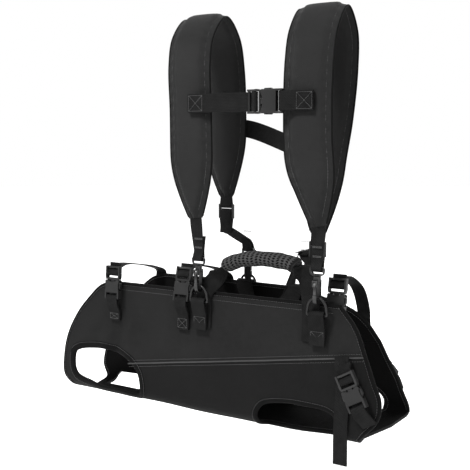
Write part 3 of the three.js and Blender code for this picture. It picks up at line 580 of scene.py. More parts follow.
def wrap_point(x, q):
    """A point on the wrap's middle surface: q runs down one side, across the belly and up the other."""
    chest_top, chest_foot, back_foot, back_top = section(x)
    if q <= 1:
        return chest_top.lerp(round_corner(chest_top, chest_foot, back_foot, 0), q)
    if q <= 2:
        return round_corner(chest_top, chest_foot, back_foot, q - 1)
    if q <= 3:
        a = round_corner(chest_top, chest_foot, back_foot, 1)
        return a.lerp(round_corner(chest_foot, back_foot, back_top, 0), q - 2)
    if q <= 4:
        return round_corner(chest_foot, back_foot, back_top, q - 3)
    return round_corner(chest_foot, back_foot, back_top, 1).lerp(back_top, q - 4)


def wrap_normal(x, q):
    down = wrap_point(x, min(q + 0.02, 5)) - wrap_point(x, max(q - 0.02, 0))
    ahead = wrap_point(x + 1, q) - wrap_point(x - 1, q)
    return down.cross(ahead).normalized()


def bump_at(centre, radius, p, angle=0.0, squeeze=1.0):
    """A soft round swelling of height 1, longer one way when squeezed."""
    dx, dz = p[0] - centre[0], p[1] - centre[1]
    c, s = math.cos(angle), math.sin(angle)
    u, v = (dx * c + dz * s) / radius, (dz * c - dx * s) / radius * squeeze
    return math.exp(-(u * u + v * v))


# soft folds: x, z, reach, slant, narrowness and height of each
CHEST_FOLDS = (
    (-236, -455, 36, 1.15, 3.6, 2.6), (-216, -452, 32, 1.3, 3.8, -2.2), (-196, -450, 32, 1.45, 3.4, 2.1),
    (-258, -448, 28, 0.9, 3.2, -1.8), (-60, -440, 60, 0.2, 2.2, 1.8), (20, -410, 80, -0.1, 2.0, -1.8),
    (96, -450, 46, 0.5, 2.6, 1.6), (-130, -420, 60, 1.2, 2.4, 1.5), (60, -480, 70, 0.12, 3.4, 1.9),
    (-40, -505, 80, -0.08, 3.4, -1.6), (150, -452, 24, 1.0, 3.8, 2.6), (162, -462, 20, 1.25, 4.2, -2.2),
    (140, -470, 22, 0.8, 3.6, -1.7), (176, -500, 28, 1.0, 3.0, 2.2), (120, -505, 40, -0.15, 3.0, 1.6),
    (-160, -405, 50, 0.5, 3.0, 1.6), (-110, -470, 46, 0.9, 3.2, -1.5), (30, -455, 44, 0.7, 3.4, 1.4),
)
BACK_FOLDS = (
    (-210, -440, 40, 1.1, 3.0, 1.6), (-120, -430, 60, 0.7, 2.6, -1.4), (-20, -450, 70, 0.2, 2.4, 1.5),
    (70, -440, 50, -0.5, 2.6, -1.4), (110, -470, 30, 1.0, 3.0, 1.6), (-60, -500, 80, -0.1, 3.0, 1.3),
    (30, -500, 60, 0.1, 3.2, -1.3), (-160, -490, 50, -0.4, 2.8, -1.2),
)


def softness(x, z, side):
    """How far the cloth stands off its flat shape."""
    folds = CHEST_FOLDS if side < 0 else BACK_FOLDS
    total = sum(h * bump_at((fx, fz), r, (x, z), slant, thin) for fx, fz, r, slant, thin, h in folds)
    return total + 0.35 * math.sin(x * 0.045 + z * 0.021) * math.sin(z * 0.06)


# ---- the wrap's cut pieces, flat and then bent ----
STATIONS = (0, 149, 181, 271, 303, 452)  # distance round the flat cloth at q = 0 to 5


def flat_at(q):
    i = min(4, int(q))
    return mix(STATIONS[i], STATIONS[i + 1], q - i)


def q_at(s):
    i = next((k for k in range(5) if s <= STATIONS[k + 1]), 4)
    return i + (s - STATIONS[i]) / (STATIONS[i + 1] - STATIONS[i])


def flat(x, z, side):
    """Where the point of a side at x and z lies on the flat cloth."""
    low, high = (0.0, 2.0) if side < 0 else (5.0, 3.0)
    for _ in range(30):
        middle = (low + high) / 2
        if wrap_point(x, middle).z > z:
            low = middle
        else:
            high = middle
    return V(x, flat_at(low), 0)


def flat_under(x, y):
    """The same for a point of the belly at x and y."""
    a, b = wrap_point(x, 2).y, wrap_point(x, 3).y
    return V(x, flat_at(2 + (y - a) / (b - a)), 0)


HARDWARE = (
    *((x, -400, 34, 40) for x, _ in RINGS.values()),
    *((x, -385, 20, 45) for x in (TOP_TAIL_X, TOP_MIDDLE_X)),
    (168, -480, 46, 70), (145, -480, 50, 70),
)  # x, z, half width and half height of what is sewn on


def clear_of_hardware(x, z):
    """0 where something is sewn on, 1 where the cloth is free."""
    free = 1.0
    for hx, hz, wide, tall in HARDWARE:
        off = max(abs(x - hx) / wide, abs(z - hz) / tall)
        free = min(free, ramp(off, 0.75, 1.25))
    return free


SAG = 5  # the belly's middle hangs this much lower


def bent(p):
    """A point of the flat cloth, with its height out of the cloth, in its place on the wrap."""
    x, s, h = p
    q = q_at(s)
    at, out = wrap_point(x, q), wrap_normal(x, q)
    side = -1 if q < 2.5 else 1
    loose = softness(x, at.z, side) * clear_of_hardware(x, at.z)
    near_edge = ramp(min(s, STATIONS[5] - s), 4, 60)
    under = math.sin(math.pi * min(1, max(0, q - 1.6) / 1.8)) if q > 1.6 else 0
    at = at + out * (h + loose * near_edge)
    at.z -= SAG * under * ramp(x, -190, -60) * (1 - ramp(x, 60, 150))
    return at


def prism(outline, tall):
    """A closed solid over an outline, half above the cloth and half below."""
    bm = bmesh.new()
    face = bm.faces.new([bm.verts.new((p.x, p.y, -tall / 2)) for p in outline])
    pushed = bmesh.ops.extrude_face_region(bm, geom=[face])["geom"]
    bmesh.ops.translate(bm, vec=(0, 0, tall), verts=[g for g in pushed if isinstance(g, bmesh.types.BMVert)])
    bmesh.ops.recalc_face_normals(bm, faces=bm.faces)
    return as_object("cloth", bm)


def cut_cloth(outline, holes, thick):
    """Flat cloth of so much thickness, cut to an outline with holes in it."""
    cell, spare = 4.0, 6
    low = V(min(p.x for p in outline) - spare, min(p.y for p in outline) - spare, 0)
    high = V(max(p.x for p in outline) + spare, max(p.y for p in outline) + spare, 0)
    size = high - low
    bm, placed = grid(int(size.x / cell), int(size.y / cell))
    for v, u, t in placed:
        v.co = low + V(size.x * u, size.y * t, -thick / 2)
    bmesh.ops.solidify(bm, geom=bm.faces[:], thickness=-thick)
    bmesh.ops.recalc_face_normals(bm, faces=bm.faces)
    cloth = as_object("cloth", bm)
    tools = [("INTERSECT", prism(outline, 20))] + [("DIFFERENCE", prism(hole, 20)) for hole in holes]
    for operation, tool in tools:
        cutter = cloth.modifiers.new("cut", "BOOLEAN")
        cutter.operation, cutter.object, cutter.solver = operation, tool, "EXACT"
    shape = bpy.data.meshes.new_from_object(cloth.evaluated_get(bpy.context.evaluated_depsgraph_get()))
    bm = bmesh.new()
    bm.from_mesh(shape)
    for used in [cloth, *(tool for _, tool in tools)]:
        bpy.data.meshes.remove(used.data)
    bpy.data.meshes.remove(shape)
    bmesh.ops.remove_doubles(bm, verts=bm.verts, dist=0.02)
    return bm


def wrap_piece(name, outline, holes, outside, node, hangs_from):
    """A panel of the wrap: shell cloth outside, dark lining inside."""
    bm = cut_cloth(outline, holes, VEST_T)
    bm.verts.index_update()
    place = {v.index: v.co.copy() for v in bm.verts}
    cut = 0
    for face in bm.faces:
        face.material_index = 1 if face.calc_center_median().z < 0.3 - VEST_T / 2 else 0
        cut += face.calc_area() * face.material_index
    wide, tall = (max(p[i] for p in outline) - min(p[i] for p in outline) for i in (0, 1))
    map_by(bm, lambda v: (place[v.index].x * MM, place[v.index].y * MM))
    for v in bm.verts:
        v.co = bent(v.co)
    bmesh.ops.recalc_face_normals(bm, faces=bm.faces)
    panel = finished(name, bm, [outside, LINING], "harness", [node], sharp=60)
    wide * MM
    tall * MM
    cut * MM * MM
    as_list(hangs_from)
    return panel


def line(points, side, closed=False):
    """A smooth line through points given in x and z, on the flat cloth."""
    return [flat(p.x, p.z, side) for p in spline([(x, 0, z) for x, z in points], 5, closed)]


def straight(a, b, count):
    return [a.lerp(b, i / count) for i in range(count + 1)]


def seam_z(x):
    """The height of the side seams, which climb towards the head end."""
    return TOP - 118 + 57 * (x + 196) / (HEAD - 28 + 196)


T, B = TOP, BOTTOM
SEAM_X = -196
SPLIT_Y = -22
TAIL_EDGE = (
    (TAIL + 98, T), (TAIL + 74, T - 7), (TAIL + 50, T - 28), (TAIL + 28, T - 53),
    (TAIL + 8, T - 88), (TAIL, T - 127), (TAIL + 1, B + 19), (TAIL + 14, B + 4),
)
CHEST_HEAD_EDGE = (
    (HEAD - 61, T), (HEAD - 42, T - 21), (HEAD - 34, T - 34), (HEAD - 25, T - 55), (HEAD - 22.8, T - 60.2),
)
BACK_HEAD_EDGE = (
    (HEAD - 176, T), (HEAD - 140, T - 9), (HEAD - 86, T - 23), (HEAD - 65, T - 39), (HEAD - 49, T - 64.2),
)
CHEST_FLAP = (
    (HEAD - 22.8, T - 60.2), (HEAD - 10, T - 91), (HEAD - 1, B + 58), (HEAD - 3, B + 34), (HEAD - 28, B + 5),
)
BACK_FLAP = (
    (HEAD - 49, T - 64.2), (HEAD - 40, T - 92), (HEAD - 31, T - 118),
    (HEAD - 27, B + 30), (HEAD - 20, B + 3),
)
TAIL_HOLE = (
    (-301, T - 113), (-291, T - 107), (-270, T - 103), (-237, T - 101), (-201, T - 110), (-179, T - 130),
    (-174, B + 12), (-179, B + 6), (-215, B + 8), (-252, B + 9), (-268, B + 14), (-300, B + 25),
)
HEAD_HOLE = (
    (24, B + 1), (24, B + 14), (33, B + 28), (65, B + 36),
    (98, B + 37), (134, B + 33), (146, B + 20), (146, B + 1),
)
REACH = 24  # the head-end leg openings run this far in under the belly


def head_hole(side):
    """A front leg's opening: up over the fold and in under the belly."""
    foot = section(90)[1 if side < 0 else 2].y
    deep = foot - side * REACH
    inner = [flat_under(mix(140, 30, t), deep) for t in (0, 0.25, 0.5, 0.75, 1)]
    return line(HEAD_HOLE, side) + inner


def seam_line(side, low, high, down=0.0):
    """A side seam on the flat cloth, or a line so far below it."""
    return [flat(x, seam_z(x) - down, side) for x in (mix(low, high, i / 24) for i in range(25))]


CHEST_SEAM_END, BACK_SEAM_END = HEAD - 22.8, HEAD - 49
CHEST_OUTLINE = (
    line(TAIL_EDGE, -1)
    + [flat_under(-300, SPLIT_Y), flat_under(SEAM_X, SPLIT_Y)]
    + seam_line(-1, SEAM_X, CHEST_SEAM_END)
    + line(CHEST_HEAD_EDGE, -1)[::-1][1:]
)
BACK_TAIL_EDGE = [(x + 20, z) for x, z in TAIL_EDGE]
BACK_OUTLINE = (
    line(BACK_TAIL_EDGE, 1)
    + [flat_under(-284, SPLIT_Y + 0.4), flat_under(SEAM_X, SPLIT_Y + 0.4)]
    + seam_line(1, SEAM_X, BACK_SEAM_END)
    + line(BACK_HEAD_EDGE, 1)[::-1][1:]
)
BELLY_X = SEAM_X + GAP
BELLY_OUTLINE = (
    seam_line(-1, BELLY_X, CHEST_SEAM_END, GAP)
    + line(CHEST_FLAP, -1)[1:]
    + [flat_under(168, -30), flat_under(174, 0), flat_under(180, 30)]
    + line(BACK_FLAP, 1)[::-1]
    + seam_line(1, BELLY_X, BACK_SEAM_END, GAP)[::-1][1:]
)
TAIL_GAP = [
    flat_under(-272, -14), flat_under(-208, -14), flat(-206, B + 8, 1), flat(-209, B + 12, 1),
    flat(-271, B + 12, 1), flat(-274, B + 8, 1),
]


def panels():
    """The two sides and the belly, each cut and bent on to the wrap."""
    hole = line(TAIL_HOLE, -1, closed=True)
    tabs = {side: ["ring_tab_" + name for name in RINGS if side in name] for side in ("chest", "back")}
    for side, outline, cut in (("chest", CHEST_OUTLINE, hole), ("back", BACK_OUTLINE, TAIL_GAP)):
        node = "side_panel_" + side
        wrap_piece("shell_" + side, outline, [cut], SHELL, node, tabs[side])
    holes = [head_hole(-1), head_hole(1), hole]
    shells = ["shell_chest", "shell_back"]
    wrap_piece("belly", BELLY_OUTLINE, holes, BELLY, "belly_panel", shells)


def turned_in(path, closed, inward):
    """Each point's direction in the flat cloth, towards its inside."""
    last = len(path) - 1
    out = []
    for i in range(last + 1):
        ahead = path[(i + 1) % (last + 1)] if closed else path[min(i + 1, last)]
        behind = path[i - 1] if closed or i else path[0]
        d = (ahead - behind).normalized()
        out.append(V(-d.y, d.x, 0) * inward)
    return out


def bound(name, path, inward, wide=3.3, closed=False, offset=2.2):
    """Binding tape folded over a cut edge, with a row of stitches along it."""
    deep = VEST_T / 2 + 0.9
    cells = max(12, int(lengths(path)[-1] / 4))
    even_path = even(path + [path[0]] if closed else path, cells)
    if closed:
        even_path = even_path[:-1]
    inside = turned_in(even_path, closed, inward)
    middle = [p + d * offset for p, d in zip(even_path, inside)]
    place = [bent(p) for p in middle]
    sides = [(bent(p + d) - bent(p)).normalized() for p, d in zip(middle, inside)]
    last = len(place) - (0 if closed else 1)
    tube(
        name, place, (wide, deep), "harness", BINDING, "shell_fabric", sides=16, closed=closed,
        across=lambda t: sides[round(t * last) % len(sides)],
    )
    rows = bmesh.new()
    for face in (1, -1):
        row = [bent(p + d * wide * 0.45 + Z * face * deep * 0.9) for p, d in zip(middle, inside)]
        stitched(rows, row, picked([bent(p + Z * face) - bent(p) for p in middle]), pitch=3.4, length=2.4)
    stitches(name + "_stitches", rows)


def sewn_rows(name, path, inward, insets):
    """Rows of stitching through the cloth, so far in from a line."""
    inside = turned_in(path, False, inward)
    bm = bmesh.new()
    for inset in insets:
        row = [bent(p + d * inset + Z * (VEST_T / 2 + 0.1)) for p, d in zip(path, inside)]
        stitched(bm, row, picked([bent(p + Z) - bent(p) for p in path]), pitch=3.4, length=2.4)
    stitches(name, bm)


def trims():
    """Edge bindings, the welted side seams and the sewn rows of the wrap."""
    chest_top = straight(flat(*TAIL_EDGE[0], -1), flat(*CHEST_HEAD_EDGE[0], -1), 40)
    back_top = straight(flat(*BACK_TAIL_EDGE[0], 1), flat(*BACK_HEAD_EDGE[0], 1), 40)
    bound("chest_tail_binding", line(TAIL_EDGE, -1), -1)
    bound("chest_top_binding", chest_top, 1)
    bound("chest_head_binding", line(CHEST_HEAD_EDGE, -1) + line(CHEST_FLAP, -1)[1:], 1)
    bound("back_tail_binding", line(BACK_TAIL_EDGE, 1), 1)
    bound("back_top_binding", back_top, -1)
    bound("back_head_binding", line(BACK_HEAD_EDGE, 1) + line(BACK_FLAP, 1)[1:], -1)
    bound("chest_leg_binding", line(TAIL_HOLE, -1, closed=True), -1, wide=6.4, closed=True, offset=4.6)
    for side, word in ((-1, "chest"), (1, "back")):
        bound(word + "_front_leg_binding", head_hole(side), side, wide=4.4, closed=True, offset=3.0)
        seam_end = CHEST_SEAM_END if side < 0 else BACK_SEAM_END
        seam = seam_line(side, SEAM_X, seam_end - 3)
        welt = [bent(p + Z * (VEST_T / 2 + 0.2)) for p in seam]
        # The welt's pale finish is a painted highlight along the ridge of the seam.
        tube(word + "_side_welt", welt, 1.1, "harness", WELT_PAINTED_HIGHLIGHT, "shell_fabric", sides=10)
        sewn_rows(word + "_seam_stitches", seam, side, (4.5, -4.5))
    sewn_rows("chest_top_stitches", chest_top[1:-1], 1, (10.5,))
    sewn_rows("back_top_stitches", back_top[1:-1], -1, (10.5,))


# ---- shoulder pads ----
PAD_PATHS = {
    "tail": (
        (15, -50, -268), (7, -48, -190), (3, -44, -120), (0, -42, -60), (0, -33, -22), (0, 0, PAD_T / 2),
        (0, 33, -20), (0, 46, -66), (0, 50, -130), (-1, 50, -195), (1, 50, -244),
    ),
    "head": (
        (20, -54, -270), (12, -52, -220), (2, -48, -180), (-1, -46, -130), (0, -44, -60), (0, -33, -22),
        (0, -4, PAD_T / 2), (0, 24, -22), (-4, 35, -68), (-12, 40, -130), (-24, 42, -200), (-30, 44, -290),
    ),
}
PAD_X = {"tail": -PAD_SPACING / 2, "head": PAD_SPACING / 2}
TIP_TURN = 0.16  # the share of a pad's length over which its tip narrows
PAD_SQUARE = 0.72  # below 1, a pad's section is squarer than an oval
CHANNEL = 8  # the sewn channel runs this far in from the pad's edge


def pad_points(key):
    """The middle line of a pad, from its chest end over the top to its back end."""
    return [V(PAD_X[key] + x, y, z) for x, y, z in PAD_PATHS[key]]


def pad_width(t):
    tip = min(t, 1 - t) / TIP_TURN
    return PAD_WIDTH if tip >= 1 else mix(PAD_TIP, PAD_WIDTH, math.sin(tip * math.pi / 2))


def pad_face(key, z, side):
    """Where a pad's outer face is at height z, on its chest or its back run."""
    points = pad_points(key)
    run = points[:6] if side < 0 else points[5:][::-1]
    i = max(1, next(k for k, p in enumerate(run) if p.z >= z))
    low, high = run[i - 1], run[i]
    return mix(low.y, high.y, (z - low.z) / (high.z - low.z)) + side * (PAD_T / 2 + 1)


def pad_half(t):
    return pad_width(t) / 2 - 0.6


def signed(v, power):
    return math.copysign(abs(v) ** power, v)


def pad_surface(path, turned, i, t, u, grow=0.0):
    """A point round the pad's crowned section, u from 0 to 1."""
    half = pad_half(t)
    angle = 2 * math.pi * u
    wide = half * signed(math.cos(angle), PAD_SQUARE)
    inset = half - abs(wide)
    channel = math.exp(-((inset - CHANNEL) / 2.0) ** 2)
    end = ramp(min(t, 1 - t), 0, 0.02)
    crown = (PAD_T / 2 - 0.4) * (0.30 + 0.70 * ramp(inset, 0, 15)) * mix(0.55, 1, end)
    pucker = 0.35 * math.sin(t * 260 + wide * 0.12) * (1 - ramp(inset, 6, 22))
    deep = signed(math.sin(angle), 0.8) * (crown - 1.5 * channel + pucker)
    _, side, out = turned[i]
    return path[i] + side * wide + out * (deep + math.copysign(grow, deep))


def pad_row(path, turned, side, face):
    """One sewn channel of a pad: its line and its outward directions."""
    last = len(path) - 1
    row, ups = [], []
    for i in range(4, last - 3):
        half = pad_half(i / last)
        share = math.acos(min(1, ((half - CHANNEL) / half) ** (1 / PAD_SQUARE))) / (2 * math.pi)
        u = share if side > 0 else 0.5 - share
        row.append(pad_surface(path, turned, i, i / last, u if face > 0 else 1 - u, 0.15))
        ups.append(turned[i][2] * face)
    return row, ups


def pad_pipe(path, turned, side):
    """The piping in one edge of a pad."""
    last = len(path) - 1
    edge = [path[i] + turned[i][1] * side * (pad_width(i / last) / 2 - 1.2) for i in range(1, last)]
    return tube_mesh(edge, 1.25, sides=10)


def shoulder_pad(key):
    """A crowned, padded strap with a sewn channel and piping along both edges."""
    path = even(spline(pad_points(key), 16), 220)
    turned = frames(path, X)
    last = len(path) - 1
    bm, placed = grid(44, last)
    for v, u, t in placed:
        v.co = pad_surface(path, turned, round(t * last), t, u)
    bmesh.ops.remove_doubles(bm, verts=bm.verts, dist=0.01)
    bmesh.ops.holes_fill(bm, edges=[e for e in bm.edges if e.is_boundary])
    bmesh.ops.recalc_face_normals(bm, faces=bm.faces)
    pad = finished("pad_" + key, bm, PAD, "harness", ["shoulder_pad_" + key], sharp=70)
    rows = bmesh.new()
    for side, face in ((1, 1), (1, -1), (-1, 1), (-1, -1)):
        row, ups = pad_row(path, turned, side, face)
        stitched(rows, row, picked(ups), pitch=4, length=2.8)
    stitches("pad_stitches_" + key, rows)
    pipes = [pad_pipe(path, turned, side) for side in (1, -1)]
    joined("pad_piping_" + key, pipes, BINDING, "harness")


# ---- webs ----
def fold(bar, away, face, radius=FOLD, spread=0.0):
    """Webbing folded round a bar, from its face side round to its back."""
    def at(s, n):
        return bar + away * s + face * n

    turn = []
    for i in range(13):
        angle = math.radians(75 + 210 * i / 12)
        turn.append(at(radius * math.cos(angle), radius * math.sin(angle)))
    closed = spread + radius + 7
    wide = [spread] if spread else []
    return (
        [at(closed, SEWN)] + [at(s, radius) for s in wide] + turn
        + [at(s, -radius) for s in wide] + [at(closed, -SEWN)]
    )


def eye_fold(ring, start, reach):
    """A web's end folded through its hook's eye, and sewn back for so far."""
    bar = V(ring.x, ring.y, EYE_BAR_Z)
    away = start - bar
    away.x = 0
    away.normalize()
    face = X.cross(away).normalized()
    if face.y * ring.side < 0:
        face = -face
    core = fold(bar, away, face, EYE_FOLD)
    return core + [core[-1] + away * reach]


class Ring:
    """Where a D-ring and its hook are."""

    def __init__(self, name):
        self.name = name
        self.x, self.side = RINGS[name]
        inner = off_wall(self.x, RING_BAR_Z, self.side, WEB_RING / 2, HANDLE_LAYER)
        self.y = inner + self.side * (RING_FOLD + 2.1)


def steps_to(a, b, count):
    """So many even steps from a towards b, without b."""
    return [a.lerp(b, i / count) for i in range(count)]


def tapered(low, high):
    """A web that narrows to its hook's eye between two shares of its length."""
    return lambda t: mix(WEB_NARROW, EYE_WEB, ramp(t, low, high))


def bar_tack(bm, at, along, side, up, wide):
    """A dense row of stitches across webbing."""
    for shift in (-0.9, 0, 0.9):
        row = [at + along * shift - side * wide / 2, at + along * shift + side * wide / 2]
        stitched(bm, row, up, pitch=1.9, length=1.7, wide=0.7, tall=0.6)


def front_web(key, ring):
    """From a pad's chest end down to its hook. Gives where it is sewn."""
    tip, above = pad_points(key)[:2]
    hang = (tip - above).normalized()
    start = tip + hang
    clear = start + hang * 5
    eye = eye_fold(ring, clear, 20)
    path = spline([start - hang * 8] + steps_to(clear, eye[0], 5) + eye, 3)
    webbing("front_web_cloth_" + key, path, X, tapered(0, 0.35), "harness", ["front_web_" + key])
    return eye[0]


def rear_web(key, ring):
    """From a pad's back end through its ladder lock to its hook. Gives where it is sewn."""
    tip = pad_points(key)[-1]
    bar = V(tip.x, tip.y, tip.z - LOCK_DROP)
    tab = [V(bar.x, bar.y + SEWN, bar.z + 18), *fold(bar, Z, Y), V(bar.x, bar.y - SEWN, bar.z + 18)]
    webbing("lock_tab_" + key, spline(tab, 2), X, WEB_NARROW, "harness")
    lower = V(bar.x, bar.y, bar.z - PITCH)
    eye = eye_fold(ring, V(lower.x, lower.y, lower.z - PITCH), 6)
    lock = fold(lower, -Z, Y, FOLD, PITCH + 3)[::-1]
    loose_end, last = lock[0] + V(0, -1, -10), lock[-1] + V(0, 0, -5)
    path = spline([loose_end] + lock + steps_to(last, eye[0], 6) + eye, 3)
    webbing("rear_web_cloth_" + key, path, X, tapered(0.55, 0.7), "harness", ["rear_web_" + key])
    return eye[0]


def shoulder_webs(key):
    """Both webs that hang from a pad, with the bar tacks at their hooks."""
    chest_ring, back_ring = Ring("chest_" + key), Ring("back_" + key)
    ends = (front_web(key, chest_ring), chest_ring.side), (rear_web(key, back_ring), back_ring.side)
    tacks = bmesh.new()
    for place, side in ends:
        out = Y * side
        at = place + Z * 4 + out * (WEB_T / 2 + 0.1)
        bar_tack(tacks, at, Z, X, out, EYE_WEB - 3)
        bar_tack(tacks, at + Z * 12, Z, X, out, EYE_WEB - 2)
    stitches("web_tacks_" + key, tacks)


def ring_tab(ring):
    """The tab that holds a ring, folded round its bar and sewn on the side panel."""
    core = fold(V(ring.x, ring.y, RING_BAR_Z), -Z, Y * ring.side, RING_FOLD)

    def foot(layer, z):
        return V(ring.x, off_wall(ring.x, z, ring.side, WEB_RING / 2, HANDLE_LAYER + layer * LAYER), z)

    low = RING_BAR_Z - 40
    path = [foot(1, low), foot(1, RING_BAR_Z - 21), *core, foot(0, RING_BAR_Z - 21), foot(0, low)]
    path = spline(path, 3)
    webbing("ring_tab_cloth_" + ring.name, path, X, WEB_RING, "harness", ["ring_tab_" + ring.name])
    sewn = bmesh.new()
    top = foot(1, RING_BAR_Z - 20) + Y * ring.side * (WEB_T / 2 + 0.15)
    box_cross(sewn, top - X * WEB_RING / 2, -Z, X, Y * ring.side, 19, WEB_RING)
    stitches("ring_tab_stitches_" + ring.name, sewn)


def d_ring(ring):
    """A bent wire ring: straight bar, rounded sides and a bow."""
    half = WEB_RING / 2 + GAP + RING_R
    bar = [V(ring.x + mix(-half, half, t), ring.y, RING_BAR_Z) for t in (0, 0.25, 0.5, 0.75, 1)]
    side = [(half, 7), (half * 0.93, 12), (half * 0.72, 17), (half * 0.36, RING_H - 0.6), (0, RING_H)]
    right = [V(ring.x + x, ring.y, RING_BAR_Z + z) for x, z in side]
    left = [V(ring.x - x, ring.y, RING_BAR_Z + z) for x, z in side[:-1]][::-1]
    path = spline(bar + right + left, 8, closed=True)
    tube(
        "wire_ring_" + ring.name, path, RING_R, "ring_" + ring.name, METAL, "dark_metal",
        ["d_ring_" + ring.name], sides=16, closed=True,
    )


# ---- hard parts, from the frame ----
def refined(node, finish, body, soft=0.5):
    """A frame part with its faces joined up and its edges rounded."""
    bm = bmesh.new()
    bm.from_mesh(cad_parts[node].data)
    bmesh.ops.remove_doubles(bm, verts=bm.verts, dist=1e-5)
    bmesh.ops.dissolve_limit(bm, angle_limit=math.radians(2), verts=bm.verts, edges=bm.edges)
    shade_smooth(bm, 38)
    piece = as_object("fine_" + node, bm)
    piece.data.materials.append(finish)
    bevel = piece.modifiers.new("edges", "BEVEL")
    bevel.width, bevel.segments, bevel.harden_normals = soft * MM, 3, True
    bevel.limit_method, bevel.angle_limit = "ANGLE", math.radians(30)
    bevel.use_clamp_overlap = True
    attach(piece, body)
    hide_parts(node)
    return piece


def hardware():
    """The rings, hooks, ladder locks and buckles, with the tabs that hold the rings."""
    for name in RINGS:
        ring = Ring(name)
        d_ring(ring)
        ring_tab(ring)
        refined("hook_eye_" + name, METAL, "harness", 0.7)
        refined("hook_body_" + name, METAL, "hook_" + name, 0.8)
        refined("hook_gate_" + name, METAL, "gate_" + name, 0.6)
    for key in ("tail", "head"):
        refined("ladder_lock_" + key, PLASTIC, "harness", 0.7)
    for key in ("chest", "top_tail", "top_middle", "top_head", "lower_chest", "lower_back"):
        refined(key + "_socket", PLASTIC, "harness", 0.9)
        refined(key + "_plug", PLASTIC, "plug_" + key, 0.7)


# ---- straps that a plug pulls ----
def threaded(bar, away, face):
    """A web over a plug's inner bar and down through its slot, both layers behind the end bar."""
    behind = -FOLD - LAYER

    def at(s, n):
        return bar + away * s + face * n

    angles = [math.radians(60 + 210 * i / 7) for i in range(8)]
    turn = [at(FOLD * math.cos(a), FOLD * math.sin(a)) for a in angles]
    start = [at(PITCH + 7, -FOLD - 0.3), at(PITCH - 1.5, -FOLD - 0.1), at(PITCH / 2, 0.4)]
    return [*start, *turn, at(PITCH, behind), at(PITCH + 7, behind)]


def socket_reach(web):
    """How far a buckle's mouth is from its socket's bar, for that width of webbing."""
    throat = 4 + 0.62 * web
    return throat + END_BAR + SLOT + BAR_R


def buckle_places(web, origin, along, face):
    """A buckle's way across, its socket's fold, its plug's fold and its plug's bar."""
    across = along.cross(face).normalized()
    bar, plug_bar = origin - along * socket_reach(web), origin + along * PLUG_BAR
    return across, fold(bar, -along, face), threaded(plug_bar, along, face), plug_bar


def pulled(piece, start, end):
    """Bakes a web's place into its mesh; start and end, where it is sewn on and the plug that pulls it, are
    not used.
    """
    start * MM
    end * MM
    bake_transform(piece)


def chest_strap():
    """The strap across the chest, from pad to pad, with its buckle."""
    z = -113
    face = -Y
    y = pad_face("head", z, -1) - 4 - GAP
    across, socket_fold, plug_fold, plug_bar = buckle_places(WEB_WIDE, V(31, y, z), -X, face)

    def patch(key, x, layer):
        return V(x, pad_face(key, z, -1) - GAP - WEB_T / 2 - layer * LAYER, z)

    def looped(key, start, edge, turn):
        return spline([
            patch(key, start, 1), patch(key, edge, 1), *turn, patch(key, edge, 0), patch(key, start, 0),
        ], 3)

    tail_edge = PAD_X["tail"] + PAD_WIDTH / 2
    path = looped("tail", PAD_X["tail"] + 6, tail_edge, plug_fold)
    web = webbing("chest_web_tail", path, across, WEB_WIDE, None, ["chest_strap_tail"])
    pulled(web, V(tail_edge + 4, y, z), V(plug_bar.x - 12, y, z))
    head_edge = PAD_X["head"] - PAD_WIDTH / 2 + 18
    path = looped("head", PAD_X["head"] + 12, head_edge, socket_fold)
    webbing("chest_web_head", path, across, WEB_WIDE, "harness", ["chest_strap_head"])
    sewn = bmesh.new()
    lift = -Y * (WEB_T / 2 + 0.15)
    for key, x in (("tail", PAD_X["tail"] + 6), ("head", head_edge + 4)):
        box_cross(sewn, patch(key, x, 1) + lift - Z * WEB_WIDE / 2, X, Z, -Y, 26, WEB_WIDE)
    stitches("chest_strap_stitches", sewn)


def back_strap():
    """The plain strap across the back, from pad to pad."""
    ends = (
        (PAD_X["tail"] - 20, "tail", -142), (PAD_X["tail"] + PAD_WIDTH / 2, "tail", -146),
        (PAD_X["head"] - PAD_WIDTH / 2 - 12, "head", -178), (PAD_X["head"] + 4, "head", -184),
    )
    path = [V(x, pad_face(key, z, 1) + GAP + WEB_T / 2, z) for x, key, z in ends]
    webbing("back_web", even(spline(path, 20), 60), Z, WEB_WIDE, "harness", ["back_strap"])
    sewn = bmesh.new()
    for a, b in ((path[0], path[1]), (path[3], path[2])):
        along = (b - a).normalized()
        side = along.cross(Y).normalized()
        box_cross(sewn, a + Y * (WEB_T / 2 + 0.15) - side * WEB_WIDE / 2, along, side, Y, 26, WEB_WIDE)
    stitches("back_strap_stitches", sewn)


BACK_CUT = (*BACK_HEAD_EDGE[:4], (HEAD - 50, T - 61), *BACK_FLAP[1:3], (HEAD - 30, T - 145))


def back_edge_z(x):
    """The height of the back panel's upper edge at x."""
    for (x0, z0), (x1, z1) in zip(BACK_CUT, BACK_CUT[1:]):
        if x < x1:
            return z0 if x < x0 else mix(z0, z1, (x - x0) / (x1 - x0))
    return B


def off_chest(x, z, side, off):
    """A point so far off one face of the chest panel."""
    return V(x, wall_y(x, z, -1) + side * (VEST_T / 2 + GAP + off), z)


def on_chest(x, z, side, under):
    """Where webbing lies on one face of the chest panel, over so many layers."""
    return off_chest(x, z, side, WEB_T / 2 + 0.3 + under * LAYER)


def top_tab(key, x, side, bar_z, socket_fold):
    """The tab that holds a top buckle's socket."""
    low, high = TOP - TOP_TAB_DROP, bar_z - TOP_FOLD
    outer, inner = (1, 0) if side < 0 else (0, 1)
    tab = [
        on_chest(x, low, side, outer), on_chest(x, high, side, outer), *socket_fold,
        on_chest(x, high, side, inner), on_chest(x, low, side, inner),
    ]
    webbing("top_tab_cloth_" + key, spline(tab, 3), X, WEB_NARROW, "harness", ["top_tab_" + key])


